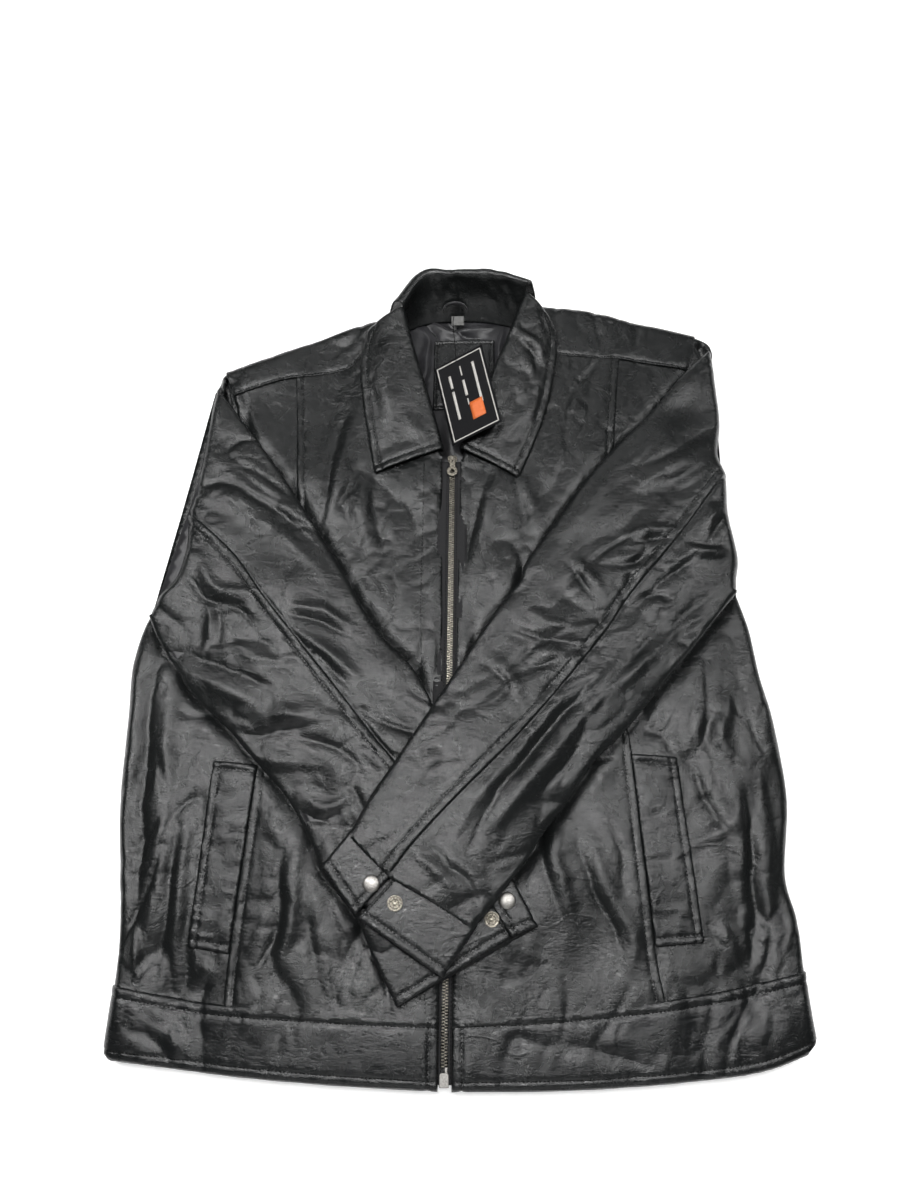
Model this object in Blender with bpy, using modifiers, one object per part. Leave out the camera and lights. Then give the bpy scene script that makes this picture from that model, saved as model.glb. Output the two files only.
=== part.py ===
"""Black leather zip jacket, lying on its back with the sleeves folded over the front.

Frame: metres, +Z up, z = 0 is the surface it lies on, +Y runs from the hem to the collar,
+X runs to the wearer's left. Outlines are written in garment millimetres, x from the zip
and y from the zip's lower end, and place() turns them into frame metres.
"""
import math

import bmesh
import bpy
from mathutils import Vector

# ---- driving dimensions, metres -------------------------------------------------------
ZIP_X = -0.0045             # the zip's line in the frame
ZIP_Y = -0.3715             # the zip's lower end in the frame
LEATHER = 0.0014            # garment leather with its fusing
BAND = 0.0030               # doubled leather of the waistband
LINING = 0.0006             # satin
GAP = 0.0004                # between neighbouring sheets
FOLD_SLACK = 0.0015         # between a flat panel and the folded edge beside it
FRONT_TOP = 0.0175          # upper face of the front panels
BAND_TOP = 0.0185           # upper face of the waistband's front
LINING_TOP = 0.0136         # upper face of the front lining
TAPE_TOP = 0.0151           # upper face of the zip's tape
SLIDER_Y = 0.553            # slider's middle, from the zip's lower end
SLIDER_HALF = 0.0042        # half of the slider's width
PULL_Z = 0.0188             # height of the pull's cross bar
SLEEVE_DEPTH = 0.0105       # outer height of a flattened sleeve
RIGHT_SLEEVE_BASE = 0.0213  # underside of the sleeve that lies below
LEFT_SLEEVE_BASE = 0.0245   # underside of the sleeve on top, at its fold
LEFT_SLEEVE_RISE = 0.045    # how steeply the top sleeve climbs over the other one
LEFT_FOLD_X = 270.0         # garment mm: fold line of the wearer's left sleeve
SNAP_RADIUS = 0.0068
COLLAR = 0.0018
FOLD_STEPS = 6              # facets round a folded edge

# ---- outlines, garment millimetres ------------------------------------------------------
# silhouettes of the body below the sleeves, hem to armpit
LEFT_SIDE = [(299, 88), (298, 122), (292, 160), (301, 225), (295, 294), (287, 335), (283, 392)]
RIGHT_SIDE = [(-275, 68), (-276, 110), (-283, 160), (-290, 219), (-292, 290), (-294, 334), (-284, 372)]
LEFT_BAND_SIDE = [(303, 26), (299, 83)]
RIGHT_BAND_SIDE = [(-276, 9), (-274, 62)]
LEFT_HEM = [(6, -12), (70, -11), (132, -8), (200, -2), (256, 6)]
RIGHT_HEM = [(-5, -12), (-80, -9), (-160, -4), (-220, 2)]
LEFT_BAND_SEAM = [(6, 42), (90, 47), (180, 57), (240, 67), (287, 79)]
RIGHT_BAND_SEAM = [(-5, 42), (-84, 44), (-183, 49), (-230, 55), (-261, 60)]
LEFT_SHOULDER = [(96, 738), (145, 731), (206, 715), (252, 704)]
RIGHT_SHOULDER = [(-90, 716), (-130, 699), (-180, 676), (-239, 650)]
LEFT_YOKE_SEAM = [(92, 678), (142, 673), (176, 671), (239, 659)]
RIGHT_YOKE_SEAM = [(-97, 674), (-106, 660), (-164, 646), (-226, 625)]
LEFT_PRINCESS = [(176, 57.4), (166, 160), (157, 258), (158, 400), (162, 566), (172, 670)]
RIGHT_PRINCESS = [(-178, 50), (-170, 140), (-161, 236), (-154, 380), (-152, 496), (-163, 645)]
LEFT_ARMHOLE = [(241, 414), (240, 500), (240, 580), (242, 660), (250, 687)]
RIGHT_ARMHOLE = [(-252, 402), (-243, 470), (-234, 540), (-226, 618)]
LEFT_HEAD = [(269, 414), (269, 500), (269, 580), (269, 672), (263, 693)]
RIGHT_HEAD = [(-279.5, 402), (-268.3, 470), (-257, 540), (-243, 628)]
LEFT_NECKLINE = [(9, 553), (30, 610), (50, 650), (74, 678)]
RIGHT_NECKLINE = [(-10, 553), (-30, 610), (-48, 650), (-74, 678)]

# a sleeve as pairs of points, upper edge and lower edge, from its fold to its cuff seam
LEFT_SLEEVE = [((266, 678), (269, 414)), ((235, 648), (243, 381)), ((197, 600), (214, 345)),
               ((128, 522), (157, 278)), ((71, 437), (104, 216)), ((4, 326), (68, 167)),
               ((-46, 247), (44, 136)), ((-78.6, 192), (29, 117))]
LEFT_MOUTH = [(-42, 157.5)]
RIGHT_SLEEVE = [((-242, 629), (-280, 388)), ((-219, 600), (-249, 330)), ((-170, 534), (-196, 275)),
                ((-120, 458), (-164, 241)), ((-69, 373), (-138, 213)), ((-14, 300), (-114, 172)),
                ((22, 225), (-88, 132)), ((52, 158), (-64, 94.4))]
RIGHT_MOUTH = []
# a cuff as seam-side and hem-side points: at the slit, at the lower fold, at the upper fold
LEFT_CUFF = {"slit": ((-42, 156), (-73, 118)), "low": ((28, 115), (-2, 72)),
             "high": ((-79, 190), (-104, 158))}
RIGHT_CUFF = {"slit": ((29, 142.6), (54, 103)), "low": ((-63, 92), (-39, 49)),
              "high": ((53, 156), (77, 113))}

collection = bpy.data.collections.new("leather_jacket")
guides = bpy.data.collections.new("leather_jacket_cutters")

COLOURS = {
    "shell_leather": ((0.012, 0.013, 0.013), 0.38, 0.0),
    "trim_leather": ((0.014, 0.015, 0.015), 0.42, 0.0),
    "satin_lining": ((0.008, 0.008, 0.009), 0.45, 0.0),
    "zip_tape": ((0.010, 0.010, 0.010), 0.85, 0.0),
    "antique_metal": ((0.36, 0.34, 0.30), 0.35, 1.0),
    "nickel": ((0.72, 0.71, 0.69), 0.22, 1.0),
    "tag_card": ((0.010, 0.010, 0.010), 0.35, 0.0),
    "sticker_paper": ((0.86, 0.22, 0.04), 0.50, 0.0),
    "label_fabric": ((0.62, 0.62, 0.60), 0.80, 0.0),
}


# ---- helpers ----------------------------------------------------------------------------
def clear_scene():
    for item in list(bpy.data.objects):
        bpy.data.objects.remove(item, do_unlink=True)


def material(slot):
    found = bpy.data.materials.get(slot)
    if found:
        return found
    colour, roughness, metallic = COLOURS[slot]
    made = bpy.data.materials.new(slot)
    made.use_nodes = True
    shader = made.node_tree.nodes["Principled BSDF"]
    shader.inputs["Base Color"].default_value = (*colour, 1.0)
    shader.inputs["Roughness"].default_value = roughness
    shader.inputs["Metallic"].default_value = metallic
    return made


def place(points):
    """Garment millimetres to frame metres."""
    return [Vector((ZIP_X + x * 0.001, ZIP_Y + y * 0.001)) for x, y in points]


def height(top, x, y):
    return top(x, y) if callable(top) else top


def offset_path(path, distance):
    """Move an open path to its left by distance, with mitred corners."""
    moved = []
    for i, point in enumerate(path):
        before = (point - path[i - 1]).normalized() if i else None
        after = (path[i + 1] - point).normalized() if i + 1 < len(path) else None
        first = before or after
        second = after or before
        normal_a = Vector((-first.y, first.x))
        normal_b = Vector((-second.y, second.x))
        bisector = (normal_a + normal_b).normalized()
        moved.append(point + bisector * (distance / max(bisector.dot(normal_a), 0.5)))
    return moved


def add_mesh(name, vertices, faces, slot, thickness=0.0, origin=None):
    """One named object; an open surface gets its thickness on the side its faces turn from."""
    base = Vector(origin) if origin else Vector((0, 0, 0))
    mesh = bpy.data.meshes.new(name)
    mesh.from_pydata([Vector(v) - base for v in vertices], [], faces)
    mesh.materials.append(material(slot))
    made = bpy.data.objects.new(name, mesh)
    made.location = base
    collection.objects.link(made)
    if thickness:
        solid = made.modifiers.new("thickness", "SOLIDIFY")
        solid.thickness = thickness
        solid.offset = -1.0
    return made


def flat_piece(name, outline, top, thickness, slot, origin=None):
    """A cut piece of sheet: one polygon at height top, thickened downwards."""
    area = sum(a.x * b.y - b.x * a.y for a, b in zip(outline, outline[1:] + outline[:1]))
    ring = outline if area > 0 else outline[::-1]
    vertices = [(p.x, p.y, height(top, p.x, p.y)) for p in ring]
    return add_mesh(name, vertices, [list(range(len(ring)))], slot, thickness, origin)


def skin(name, rails, thickness, slot, flip=False, closed=False, origin=None):
    """A sheet through rows of points, thickened on its inner side."""
    columns = len(rails[0])
    vertices = [point for rail in rails for point in rail]
    faces = []
    rows = len(rails) if closed else len(rails) - 1
    for k in range(rows):
        for i in range(columns - 1):
            a = k * columns + i
            b = ((k + 1) % len(rails)) * columns + i
            face = [a, a + 1, b + 1, b]
            faces.append(face[::-1] if flip else face)
    return add_mesh(name, vertices, faces, slot, thickness, origin)


def fold_rails(path, outside, low, high):
    """Rows of points round a folded edge, from its upper face to its lower face.

    outside is +1 where the outer side lies to the left of the path and -1 to the right;
    low and high are the heights of the two outer faces.
    """
    rails = []
    for step in range(FOLD_STEPS + 1):
        angle = math.pi / 2 - math.pi * step / FOLD_STEPS
        rail = []
        for i, point in enumerate(path):
            bottom = height(low, point.x, point.y)
            top = height(high, point.x, point.y)
            radius = (top - bottom) / 2
            inward = -outside * radius * (1 - math.cos(angle))
            moved = offset_path(path, inward)[i]
            rail.append((moved.x, moved.y, (top + bottom) / 2 + radius * math.sin(angle)))
        rails.append(rail)
    return rails


def rail_at(path, top):
    return [(p.x, p.y, height(top, p.x, p.y)) for p in path]


def turned_piece(name, profile, centre, slot, steps=20):
    """A round piece: a profile of (radius, height) from its top to its base, turned about Z."""
    mesh = bpy.data.meshes.new(name)
    mesh.from_pydata([(r, 0, z) for r, z in profile], [(i, i + 1) for i in range(len(profile) - 1)], [])
    mesh.materials.append(material(slot))
    made = bpy.data.objects.new(name, mesh)
    made.location = centre
    collection.objects.link(made)
    turn = made.modifiers.new("turn", "SCREW")
    turn.axis = "Z"
    turn.steps = steps
    turn.render_steps = steps
    turn.use_merge_vertices = True
    turn.merge_threshold = 0.00002
    return made


def cut_outline(name, rings, bottom, top, slot, origin):
    """A flat metal piece: closed outlines, holes included, between two heights."""
    curve = bpy.data.curves.new(name, "CURVE")
    curve.dimensions = "2D"
    curve.fill_mode = "BOTH"
    curve.extrude = (top - bottom) / 2
    for ring in rings:
        spline = curve.splines.new("POLY")
        spline.points.add(len(ring) - 1)
        for target, (x, y) in zip(spline.points, ring):
            target.co = (x, y, 0, 1)
        spline.use_cyclic_u = True
    curve.materials.append(material(slot))
    made = bpy.data.objects.new(name, curve)
    made.location = (origin[0], origin[1], (bottom + top) / 2)
    collection.objects.link(made)
    return made


def to_mesh(made):
    """Turn a curve object into a mesh object with welded caps, at the same place."""
    bpy.context.view_layer.update()
    evaluated = made.evaluated_get(bpy.context.evaluated_depsgraph_get())
    mesh = bpy.data.meshes.new_from_object(evaluated)
    weld(mesh)
    name = made.name
    solid = bpy.data.objects.new(name + "_solid", mesh)
    solid.matrix_world = made.matrix_world.copy()
    bpy.data.objects.remove(made, do_unlink=True)
    solid.name = name
    collection.objects.link(solid)
    return solid


def weld(mesh):
    work = bmesh.new()
    work.from_mesh(mesh)
    bmesh.ops.remove_doubles(work, verts=work.verts, dist=0.00001)
    work.to_mesh(mesh)
    work.free()


def box(name, low, high, slot):
    corners = [(x, y, z) for z in (low[2], high[2]) for y in (low[1], high[1]) for x in (low[0], high[0])]
    faces = [(0, 2, 3, 1), (4, 5, 7, 6), (0, 1, 5, 4), (2, 6, 7, 3), (0, 4, 6, 2), (1, 3, 7, 5)]
    return add_mesh(name, corners, faces, slot)


def join_to(body, piece):
    """Boolean union of a piece into a body; the piece becomes a hidden cutter."""
    collection.objects.unlink(piece)
    guides.objects.link(piece)
    piece.hide_render = True
    piece.display_type = "WIRE"
    union = body.modifiers.new("join_" + piece.name, "BOOLEAN")
    union.operation = "UNION"
    union.object = piece


def circle(radius, count, centre=(0.0, 0.0)):
    turns = [2 * math.pi * i / count for i in range(count)]
    return [(centre[0] + radius * math.cos(t), centre[1] + radius * math.sin(t)) for t in turns]


# ---- body of the jacket -------------------------------------------------------------------
def side_inset(side, outside, height_above):
    """Where the flat panels end beside a folded edge of that height."""
    return offset_path(place(side), -outside * (height_above / 2 + FOLD_SLACK))


def make_back():
    left = side_inset(LEFT_SIDE, -1, FRONT_TOP)
    right = side_inset(RIGHT_SIDE, 1, FRONT_TOP)
    seam = place([(0, 42.5), (90, 47.5), (180, 57.5), (240, 67.5)])
    seam_right = place([(-230, 55.5), (-183, 49.5), (-84, 44.5)])
    yoke_line = 600
    left_up = place([(255, 414), (255, yoke_line)])
    right_up = place([(-232, yoke_line), (-264, 402)])
    outline = seam + left + left_up + right_up + right[::-1] + seam_right
    flat_piece("back_panel", outline, LEATHER, LEATHER, "shell_leather")
    shoulder_left = offset_path(place(LEFT_SHOULDER), -FRONT_TOP / 2 - FOLD_SLACK)
    shoulder_right = offset_path(place(RIGHT_SHOULDER), FRONT_TOP / 2 + FOLD_SLACK)
    neck = place([(-60, 724), (-30, 737), (20, 741), (64, 736)])
    outline = place([(-232, yoke_line + 0.5), (255, yoke_line + 0.5), (255, 656), (246, 682)])
    outline += shoulder_left[::-1] + neck[::-1] + shoulder_right[:-1] + place([(-228, 634)])
    flat_piece("back_yoke", outline, LEATHER, LEATHER, "shell_leather")
    outline = place([(-258, 64), (-180, 52), (0, 46), (180, 60), (280, 84), (282, 224), (268, 390),
                     (250, 420), (250, 684), (110, 716), (62, 728), (20, 733), (-30, 729), (-60, 716),
                     (-100, 694), (-222, 634), (-228, 600), (-258, 402), (-270, 330), (-268, 180)])
    flat_piece("back_lining", outline, LEATHER + GAP + LINING, LINING, "satin_lining")


def make_front(side, zip_edge, princess, neckline, yoke_seam, armhole, silhouette, band_seam):
    outside = -1 if side == "left" else 1
    gap_mm = 0.25 * outside
    inner = [(x + gap_mm, y) for x, y in princess]
    outer = [(x - gap_mm, y) for x, y in princess]
    below = [(x, y + 0.5) for x, y in band_seam]
    seam_x = abs(princess[0][0])
    central_seam = [p for p in below if abs(p[0]) < seam_x - 5]
    side_seam = [p for p in below if abs(p[0]) > seam_x + 10]
    top = [(x, y - 0.5) for x, y in yoke_seam]
    centre_top = [p for p in top if abs(p[0]) < abs(princess[-1][0]) - 8]
    side_top = [p for p in top if abs(p[0]) > abs(princess[-1][0]) + 3]
    panel = central_seam + inner + centre_top[::-1] + neckline[::-1] + zip_edge
    flat_piece(f"front_panel_{side}", place(panel), FRONT_TOP, LEATHER, "shell_leather")
    edge = side_inset(silhouette, outside, FRONT_TOP)
    arm = [(x + 0.5 * outside, y) for x, y in armhole]
    panel = place(outer[::-1] + side_seam) + edge + place(arm + side_top[::-1])
    flat_piece(f"front_side_panel_{side}", panel, FRONT_TOP, LEATHER, "shell_leather")
    skin(f"side_panel_{side}", fold_rails(place(silhouette), outside, 0.0, FRONT_TOP),
         LEATHER, "shell_leather", flip=outside < 0)


def make_lining(side, outline):
    flat_piece(f"front_lining_{side}", place(outline), LINING_TOP, LINING, "satin_lining")


def make_yoke(side, seam, silhouette, outside):
    rails = [rail_at(place(seam), FRONT_TOP)]
    rails += fold_rails(place(silhouette), outside, 0.0, FRONT_TOP)
    skin(f"shoulder_yoke_{side}", rails, LEATHER, "shell_leather", flip=outside < 0)


def make_sleeve_head(side, seam, fold, outside, top):
    """The cap of the sleeve that stays on the body, from the armhole seam to the fold."""
    rails = [rail_at(place(seam), FRONT_TOP)]
    rails += fold_rails(place(fold), outside, 0.0, top)
    skin(f"sleeve_head_{side}", rails, LEATHER, "shell_leather", flip=outside < 0)


def make_waistband():
    left_in = side_inset(LEFT_BAND_SIDE, -1, BAND_TOP)
    right_in = side_inset(RIGHT_BAND_SIDE, 1, BAND_TOP)
    hem = place([(x, y + 2) for x, y in RIGHT_HEM[::-1] + LEFT_HEM])
    seam = place(LEFT_BAND_SEAM[::-1] + RIGHT_BAND_SEAM)
    outline = hem + left_in[:1] + seam + right_in[:1]
    flat_piece("waistband_back", outline, BAND, BAND, "shell_leather")
    outline = place(LEFT_HEM) + left_in[:1] + place(LEFT_BAND_SEAM[::-1])
    flat_piece("waistband_front_left", outline, BAND_TOP, BAND, "shell_leather")
    outline = place(RIGHT_HEM) + right_in[:1] + place(RIGHT_BAND_SEAM[::-1])
    flat_piece("waistband_front_right", outline, BAND_TOP, BAND, "shell_leather")
    skin("waistband_side_left", fold_rails(place(LEFT_BAND_SIDE), -1, 0.0, BAND_TOP),
         BAND, "shell_leather", flip=True)
    skin("waistband_side_right", fold_rails(place(RIGHT_BAND_SIDE), 1, 0.0, BAND_TOP),
         BAND, "shell_leather")


def make_pockets():
    welts = {"left": [(162, 260), (204, 258), (216, 102), (175, 98)],
             "right": [(-209, 249), (-170, 246), (-181, 88), (-216, 93)]}
    bags = {"left": [(205, 250), (96, 244), (90, 96), (212, 104)],
            "right": [(-206, 240), (-98, 236), (-92, 88), (-212, 94)]}
    for side in welts:
        flat_piece(f"pocket_welt_{side}", place(welts[side]), FRONT_TOP + GAP + LEATHER, LEATHER,
                   "trim_leather")
        flat_piece(f"pocket_bag_{side}", place(bags[side]), LINING_TOP + GAP + 0.0009, 0.0009,
                   "satin_lining")


def make_collar():
    def points(rows):
        return [(*place([(x, y)])[0], z * 0.001) for x, y, z in rows]

    base = points([(-53, 722, 3.2), (-30, 732, 3.2), (2, 737, 3.2), (36, 736, 3.2), (68, 727, 3.2)])
    waist = points([(-51, 724, 18), (-30, 734, 19), (2, 737, 20), (36, 737, 20), (70, 731, 20)])
    top = points([(-50, 732, 43), (-30, 755, 46), (0, 756, 48), (38, 755, 48), (76, 748, 46)])
    skin("collar_back", [base, waist, top], COLLAR, "shell_leather")
    roll = points([(-54, 722, 42), (-42.6, 683, 37.5), (-31.5, 645, 33), (-20, 606, 28.5), (-8.6, 567, 24)])
    edge = points([(-91, 701, 29), (-96.5, 660, 22), (-91.5, 613, 21), (-84, 570, 20.5), (-77.4, 534, 20.2)])
    skin("collar_leaf_right", [roll, edge], COLLAR, "shell_leather", origin=roll[-1])
    roll = points([(74, 739, 43.5), (57, 695.5, 38.5), (40, 652, 33.5), (23, 608.5, 28.5), (6, 565, 23.5)])
    edge = points([(101, 716, 32), (107.5, 690, 26), (103, 650, 22), (86, 584, 20.5), (66, 533, 20.2)])
    skin("collar_leaf_left", [roll, edge], COLLAR, "shell_leather", flip=True, origin=roll[-1])


def make_neck():
    patch = place([(-21, 700), (43, 703), (43, 620), (-21, 620)])
    flat_piece("neck_patch", patch, 0.0043, 0.0012, "trim_leather")
    centre = place([(4, 722)])[0]
    label = place([(-2, 716), (10, 716), (10, 725), (-2, 725)])
    flat_piece("size_label", label, lambda x, y: 0.013 + (y - centre.y) * 0.5, 0.0004, "label_fabric")
    rails = []
    for rise in (0.0, 0.005):
        rail = []
        for step in range(9):
            turn = math.pi * step / 8
            x, y = place([(1 - 12 * math.cos(turn), 733 - 5 * math.sin(turn))])[0]
            rail.append((x, y, 0.021 + rise))
        rails.append(rail)
    skin("hanger_loop", rails, 0.0008, "satin_lining")


# ---- zip ------------------------------------------------------------------------------------
def make_zip():
    for side, sign in (("left", 1), ("right", -1)):
        outline = place([(sign * 2.8, -8), (sign * 15, -8), (sign * 15, 552), (sign * 2.8, 552)])
        flat_piece(f"zip_tape_{side}", outline, TAPE_TOP, LINING, "zip_tape")
        outline = place([(sign * 0.2, 5), (sign * 2.4, 5), (sign * 2.4, 549), (sign * 0.2, 549)])
        flat_piece(f"zip_teeth_{side}", outline, TAPE_TOP + 0.0008, 0.0022, "antique_metal")
    centre = place([(0, 0)])[0]
    low = (centre.x - 0.0002, centre.y - 0.0095, 0.0133)
    high = (centre.x + 0.0024, centre.y + 0.0042, 0.0163)
    box("zip_retainer_box", low, high, "nickel")
    pin = [(-0.0022, -0.0095), (-0.0006, -0.0095), (-0.0006, 0.0042), (-0.0022, 0.0042)]
    outline = [centre + Vector(p) for p in pin]
    flat_piece("zip_insertion_pin", outline, 0.0158, 0.0018, "nickel")


def make_slider():
    """Two plates joined by a post ahead of the tooth rows, lips towards the tape, and the bail."""
    x, y = place([(0, SLIDER_Y * 1000)])[0]
    half = SLIDER_HALF
    shield = [(-0.0030, -0.006), (0.0030, -0.006), (half, 0.002), (half, 0.0055), (0.0018, 0.0065),
              (-0.0018, 0.0065), (-half, 0.0055), (-half, 0.002)]
    body = to_mesh(cut_outline("slider_body", [shield], 0.0164, 0.0175, "antique_metal", (x, y)))
    lower = to_mesh(cut_outline("slider_lower_plate", [shield], 0.0124, 0.0134, "antique_metal", (x, y)))
    post = [(-0.0008, 0.0030), (0.0008, 0.0030), (0.0014, 0.0060), (-0.0014, 0.0060)]
    post = to_mesh(cut_outline("slider_post", [post], 0.0130, 0.0168, "antique_metal", (x, y)))
    join_to(body, post)
    join_to(body, lower)
    for index, sign in enumerate((1, -1)):
        a, b = sorted((sign * (half - 0.0008), sign * half))
        for tier, (z0, z1) in enumerate(((0.0156, 0.0168), (0.0130, 0.0140))):
            name = f"slider_lip_{index}_{tier}"
            join_to(body, box(name, (x + a, y - 0.001, z0), (x + b, y + 0.0045, z1), "antique_metal"))
    join_to(body, box("slider_bail_front", (x - 0.0007, y - 0.0032, 0.0170),
                      (x + 0.0007, y - 0.0022, 0.0206), "antique_metal"))
    join_to(body, box("slider_bail_rear", (x - 0.0007, y + 0.0043, 0.0170),
                      (x + 0.0007, y + 0.0053, 0.0206), "antique_metal"))
    join_to(body, box("slider_bail_top", (x - 0.0006, y - 0.0031, 0.0198),
                      (x + 0.0006, y + 0.0052, 0.0205), "antique_metal"))


def make_pull():
    """Drop pull with a ring end; its cross bar runs under the slider's bail."""
    x, y = place([(0, SLIDER_Y * 1000 + 3)])[0]
    outer = [(-0.0026, 0.0007), (-0.0028, -0.0070), (-0.0024, -0.0120)]
    ring = []
    for step in range(13):
        turn = math.radians(125 + 290 * step / 12)
        ring.append((0.0048 * math.cos(turn), -0.0165 + 0.0048 * math.sin(turn)))
    outer = outer + ring + [(0.0024, -0.0120), (0.0028, -0.0070), (0.0026, 0.0007)]
    window = [(-0.0014, -0.0007), (0.0014, -0.0007), (0.0014, -0.0068), (-0.0014, -0.0068)]
    eye = circle(0.0026, 12, (0.0, -0.0165))
    pull = cut_outline("pull_tab", [outer, window, eye], PULL_Z - 0.0006, PULL_Z + 0.0006,
                       "antique_metal", (x, y))
    to_mesh(pull)


# ---- hang tag ---------------------------------------------------------------------------------
def make_tag():
    """Card that leans on the left collar leaf, its sticker, and the string to the hanger loop."""
    corner, across, down = place([(-20, 650)])[0], Vector((0.048, 0.018)), Vector((0.020, -0.088))
    ring = [corner, corner + down, corner + down + across, corner + across]
    share = across.dot(across)

    def tag_plane(x, y):
        return 0.029 + 0.018 * (Vector((x, y)) - corner).dot(across) / share

    hole = corner + across * 0.46 + down * 0.06
    origin = (hole.x, hole.y, tag_plane(hole.x, hole.y))
    flat_piece("hang_tag", ring, tag_plane, 0.0009, "tag_card", origin)
    start = corner + across * 0.62 + down * 0.58
    ring = [start, start + down * 0.21, start + down * 0.21 + across * 0.27, start + across * 0.27]
    flat_piece("tag_sticker", ring, lambda x, y: tag_plane(x, y) + 0.0005, 0.0002, "sticker_paper", origin)
    route = [(0, 724, 20.5), (-1.0, 719, 20), (-1.4, 713, 21.5), (-1.0, 704, 25), (-0.2, 692, 29.5),
             (0.6, 680, 34), (1.4, 669, 37), (2.0, 660, 38.4), (2.6, 654, 38.8)]
    curve = bpy.data.curves.new("tag_string", "CURVE")
    curve.dimensions = "3D"
    curve.bevel_depth = 0.0004
    curve.bevel_resolution = 2
    curve.use_fill_caps = True
    spline = curve.splines.new("POLY")
    points = smooth_route(route, 3)
    spline.points.add(len(points) - 1)
    for target, (x, y, z) in zip(spline.points, points):
        flat = place([(x, y)])[0]
        target.co = (flat.x, flat.y, z * 0.001, 1)
    curve.materials.append(material("zip_tape"))
    collection.objects.link(bpy.data.objects.new("tag_string", curve))


def smooth_route(points, parts):
    """Catmull-Rom points through a hand-laid route."""
    full = [Vector(p) for p in points]
    padded = [full[0] * 2 - full[1]] + full + [full[-1] * 2 - full[-2]]
    result = []
    for a, b, c, d in zip(padded, padded[1:], padded[2:], padded[3:]):
        for part in range(parts):
            t = part / parts
            result.append(0.5 * (2 * b + (c - a) * t + (2 * a - 5 * b + 4 * c - d) * t ** 2
                                 + (3 * b - a - 3 * c + d) * t ** 3))
    return result + [full[-1]]


# ---- sleeves ------------------------------------------------------------------------------------
def left_base(x, _y):
    fold = ZIP_X + LEFT_FOLD_X * 0.001
    return LEFT_SLEEVE_BASE + LEFT_SLEEVE_RISE * (fold - x)


def left_top(x, y):
    return left_base(x, y) + SLEEVE_DEPTH


def right_base(_x, _y):
    return RIGHT_SLEEVE_BASE


def right_top(_x, _y):
    return RIGHT_SLEEVE_BASE + SLEEVE_DEPTH


def make_sleeve(side, stations, mouth, base, top, outside_high, pivot):
    """A flattened tube: top and under panels with the leather turned over at both edges.

    outside_high is +1 where the upper edge's outer side lies left of its path.
    """
    upper = place([s[0] for s in stations])
    lower = place([s[1] for s in stations])
    reach = SLEEVE_DEPTH / 2 + FOLD_SLACK
    upper_in = offset_path(upper, -outside_high * reach)
    lower_in = offset_path(lower, outside_high * reach)
    outline = upper_in + lower_in[::-1]
    name = f"sleeve_{side}"
    flat_piece(f"{name}_top", upper_in + place(mouth) + lower_in[::-1], top, LEATHER, "shell_leather", pivot)
    flat_piece(f"{name}_under", outline, lambda x, y: base(x, y) + LEATHER, LEATHER,
               "shell_leather", pivot)
    skin(f"{name}_upper_fold", fold_rails(upper, outside_high, base, top), LEATHER,
         "shell_leather", flip=outside_high < 0, origin=pivot)
    skin(f"{name}_lower_fold", fold_rails(lower, -outside_high, base, top), LEATHER,
         "shell_leather", flip=outside_high > 0, origin=pivot)
    inset = LEATHER + GAP

    def low(x, y):
        return base(x, y) + inset

    def high(x, y):
        return top(x, y) - inset

    first = offset_path(upper, -outside_high * (reach + 0.001))
    second = offset_path(lower, outside_high * (reach + 0.001))
    rails = [rail_at(first, high), rail_at(second, high), rail_at(second, low), rail_at(first, low)]
    skin(f"{name}_lining", rails, LINING, "satin_lining", flip=outside_high > 0, closed=True,
         origin=pivot)


def make_cuff(side, marks, base, top, outside_low, pivot, tab_pivot):
    """Cuff band from the slit round the lower fold and across the back, and the snap tab."""
    def row(name):
        return place(marks[name])

    low_edge = row("low")
    shrink = 0.0006
    slit = [p + (low_edge[i] - p).normalized() * shrink for i, p in enumerate(row("slit"))]
    rails = [rail_at(slit, top)]
    rails += fold_rails(low_edge, outside_low, base, top)
    back = [p + (low_edge[i] - p).normalized() * 0.004 for i, p in enumerate(row("high"))]
    rails.append(rail_at(back, base))
    skin(f"cuff_{side}", rails, LEATHER, "trim_leather", flip=outside_low < 0, origin=pivot)
    high_edge = row("high")
    near = [p + (high_edge[i] - p).normalized() * shrink for i, p in enumerate(row("slit"))]
    flat_piece(f"cuff_tab_{side}", [near[0], near[1], high_edge[1], high_edge[0]], top, LEATHER,
               "trim_leather", tab_pivot)
    inward = ((low_edge[0] + low_edge[1]) / 2 - (near[0] + near[1]) / 2).normalized()
    middle = (near[0] + near[1]) / 2
    cap = middle - inward * 0.0105
    socket = middle + inward * 0.0135
    return cap, socket


def make_snaps(side, cap, socket, top):
    """The cap on the tab and the open ring socket on the cuff."""
    dome = [(0.0, 0.0016), (0.0035, 0.0014), (0.0058, 0.0010), (SNAP_RADIUS, 0.0004),
            (SNAP_RADIUS, 0.0), (0.0, 0.0)]
    z = top(cap.x, cap.y) + GAP + 0.0002
    turned_piece(f"snap_cap_{side}", dome, (cap.x, cap.y, z), "nickel")
    ring = [(0.0, 0.0006), (0.0030, 0.0006), (0.0036, 0.0016), (0.0052, 0.0016), (0.0062, 0.0004),
            (0.0062, 0.0), (0.0, 0.0)]
    z = top(socket.x, socket.y) + GAP + 0.0002
    turned_piece(f"snap_socket_{side}", ring, (socket.x, socket.y, z), "antique_metal")


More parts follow.
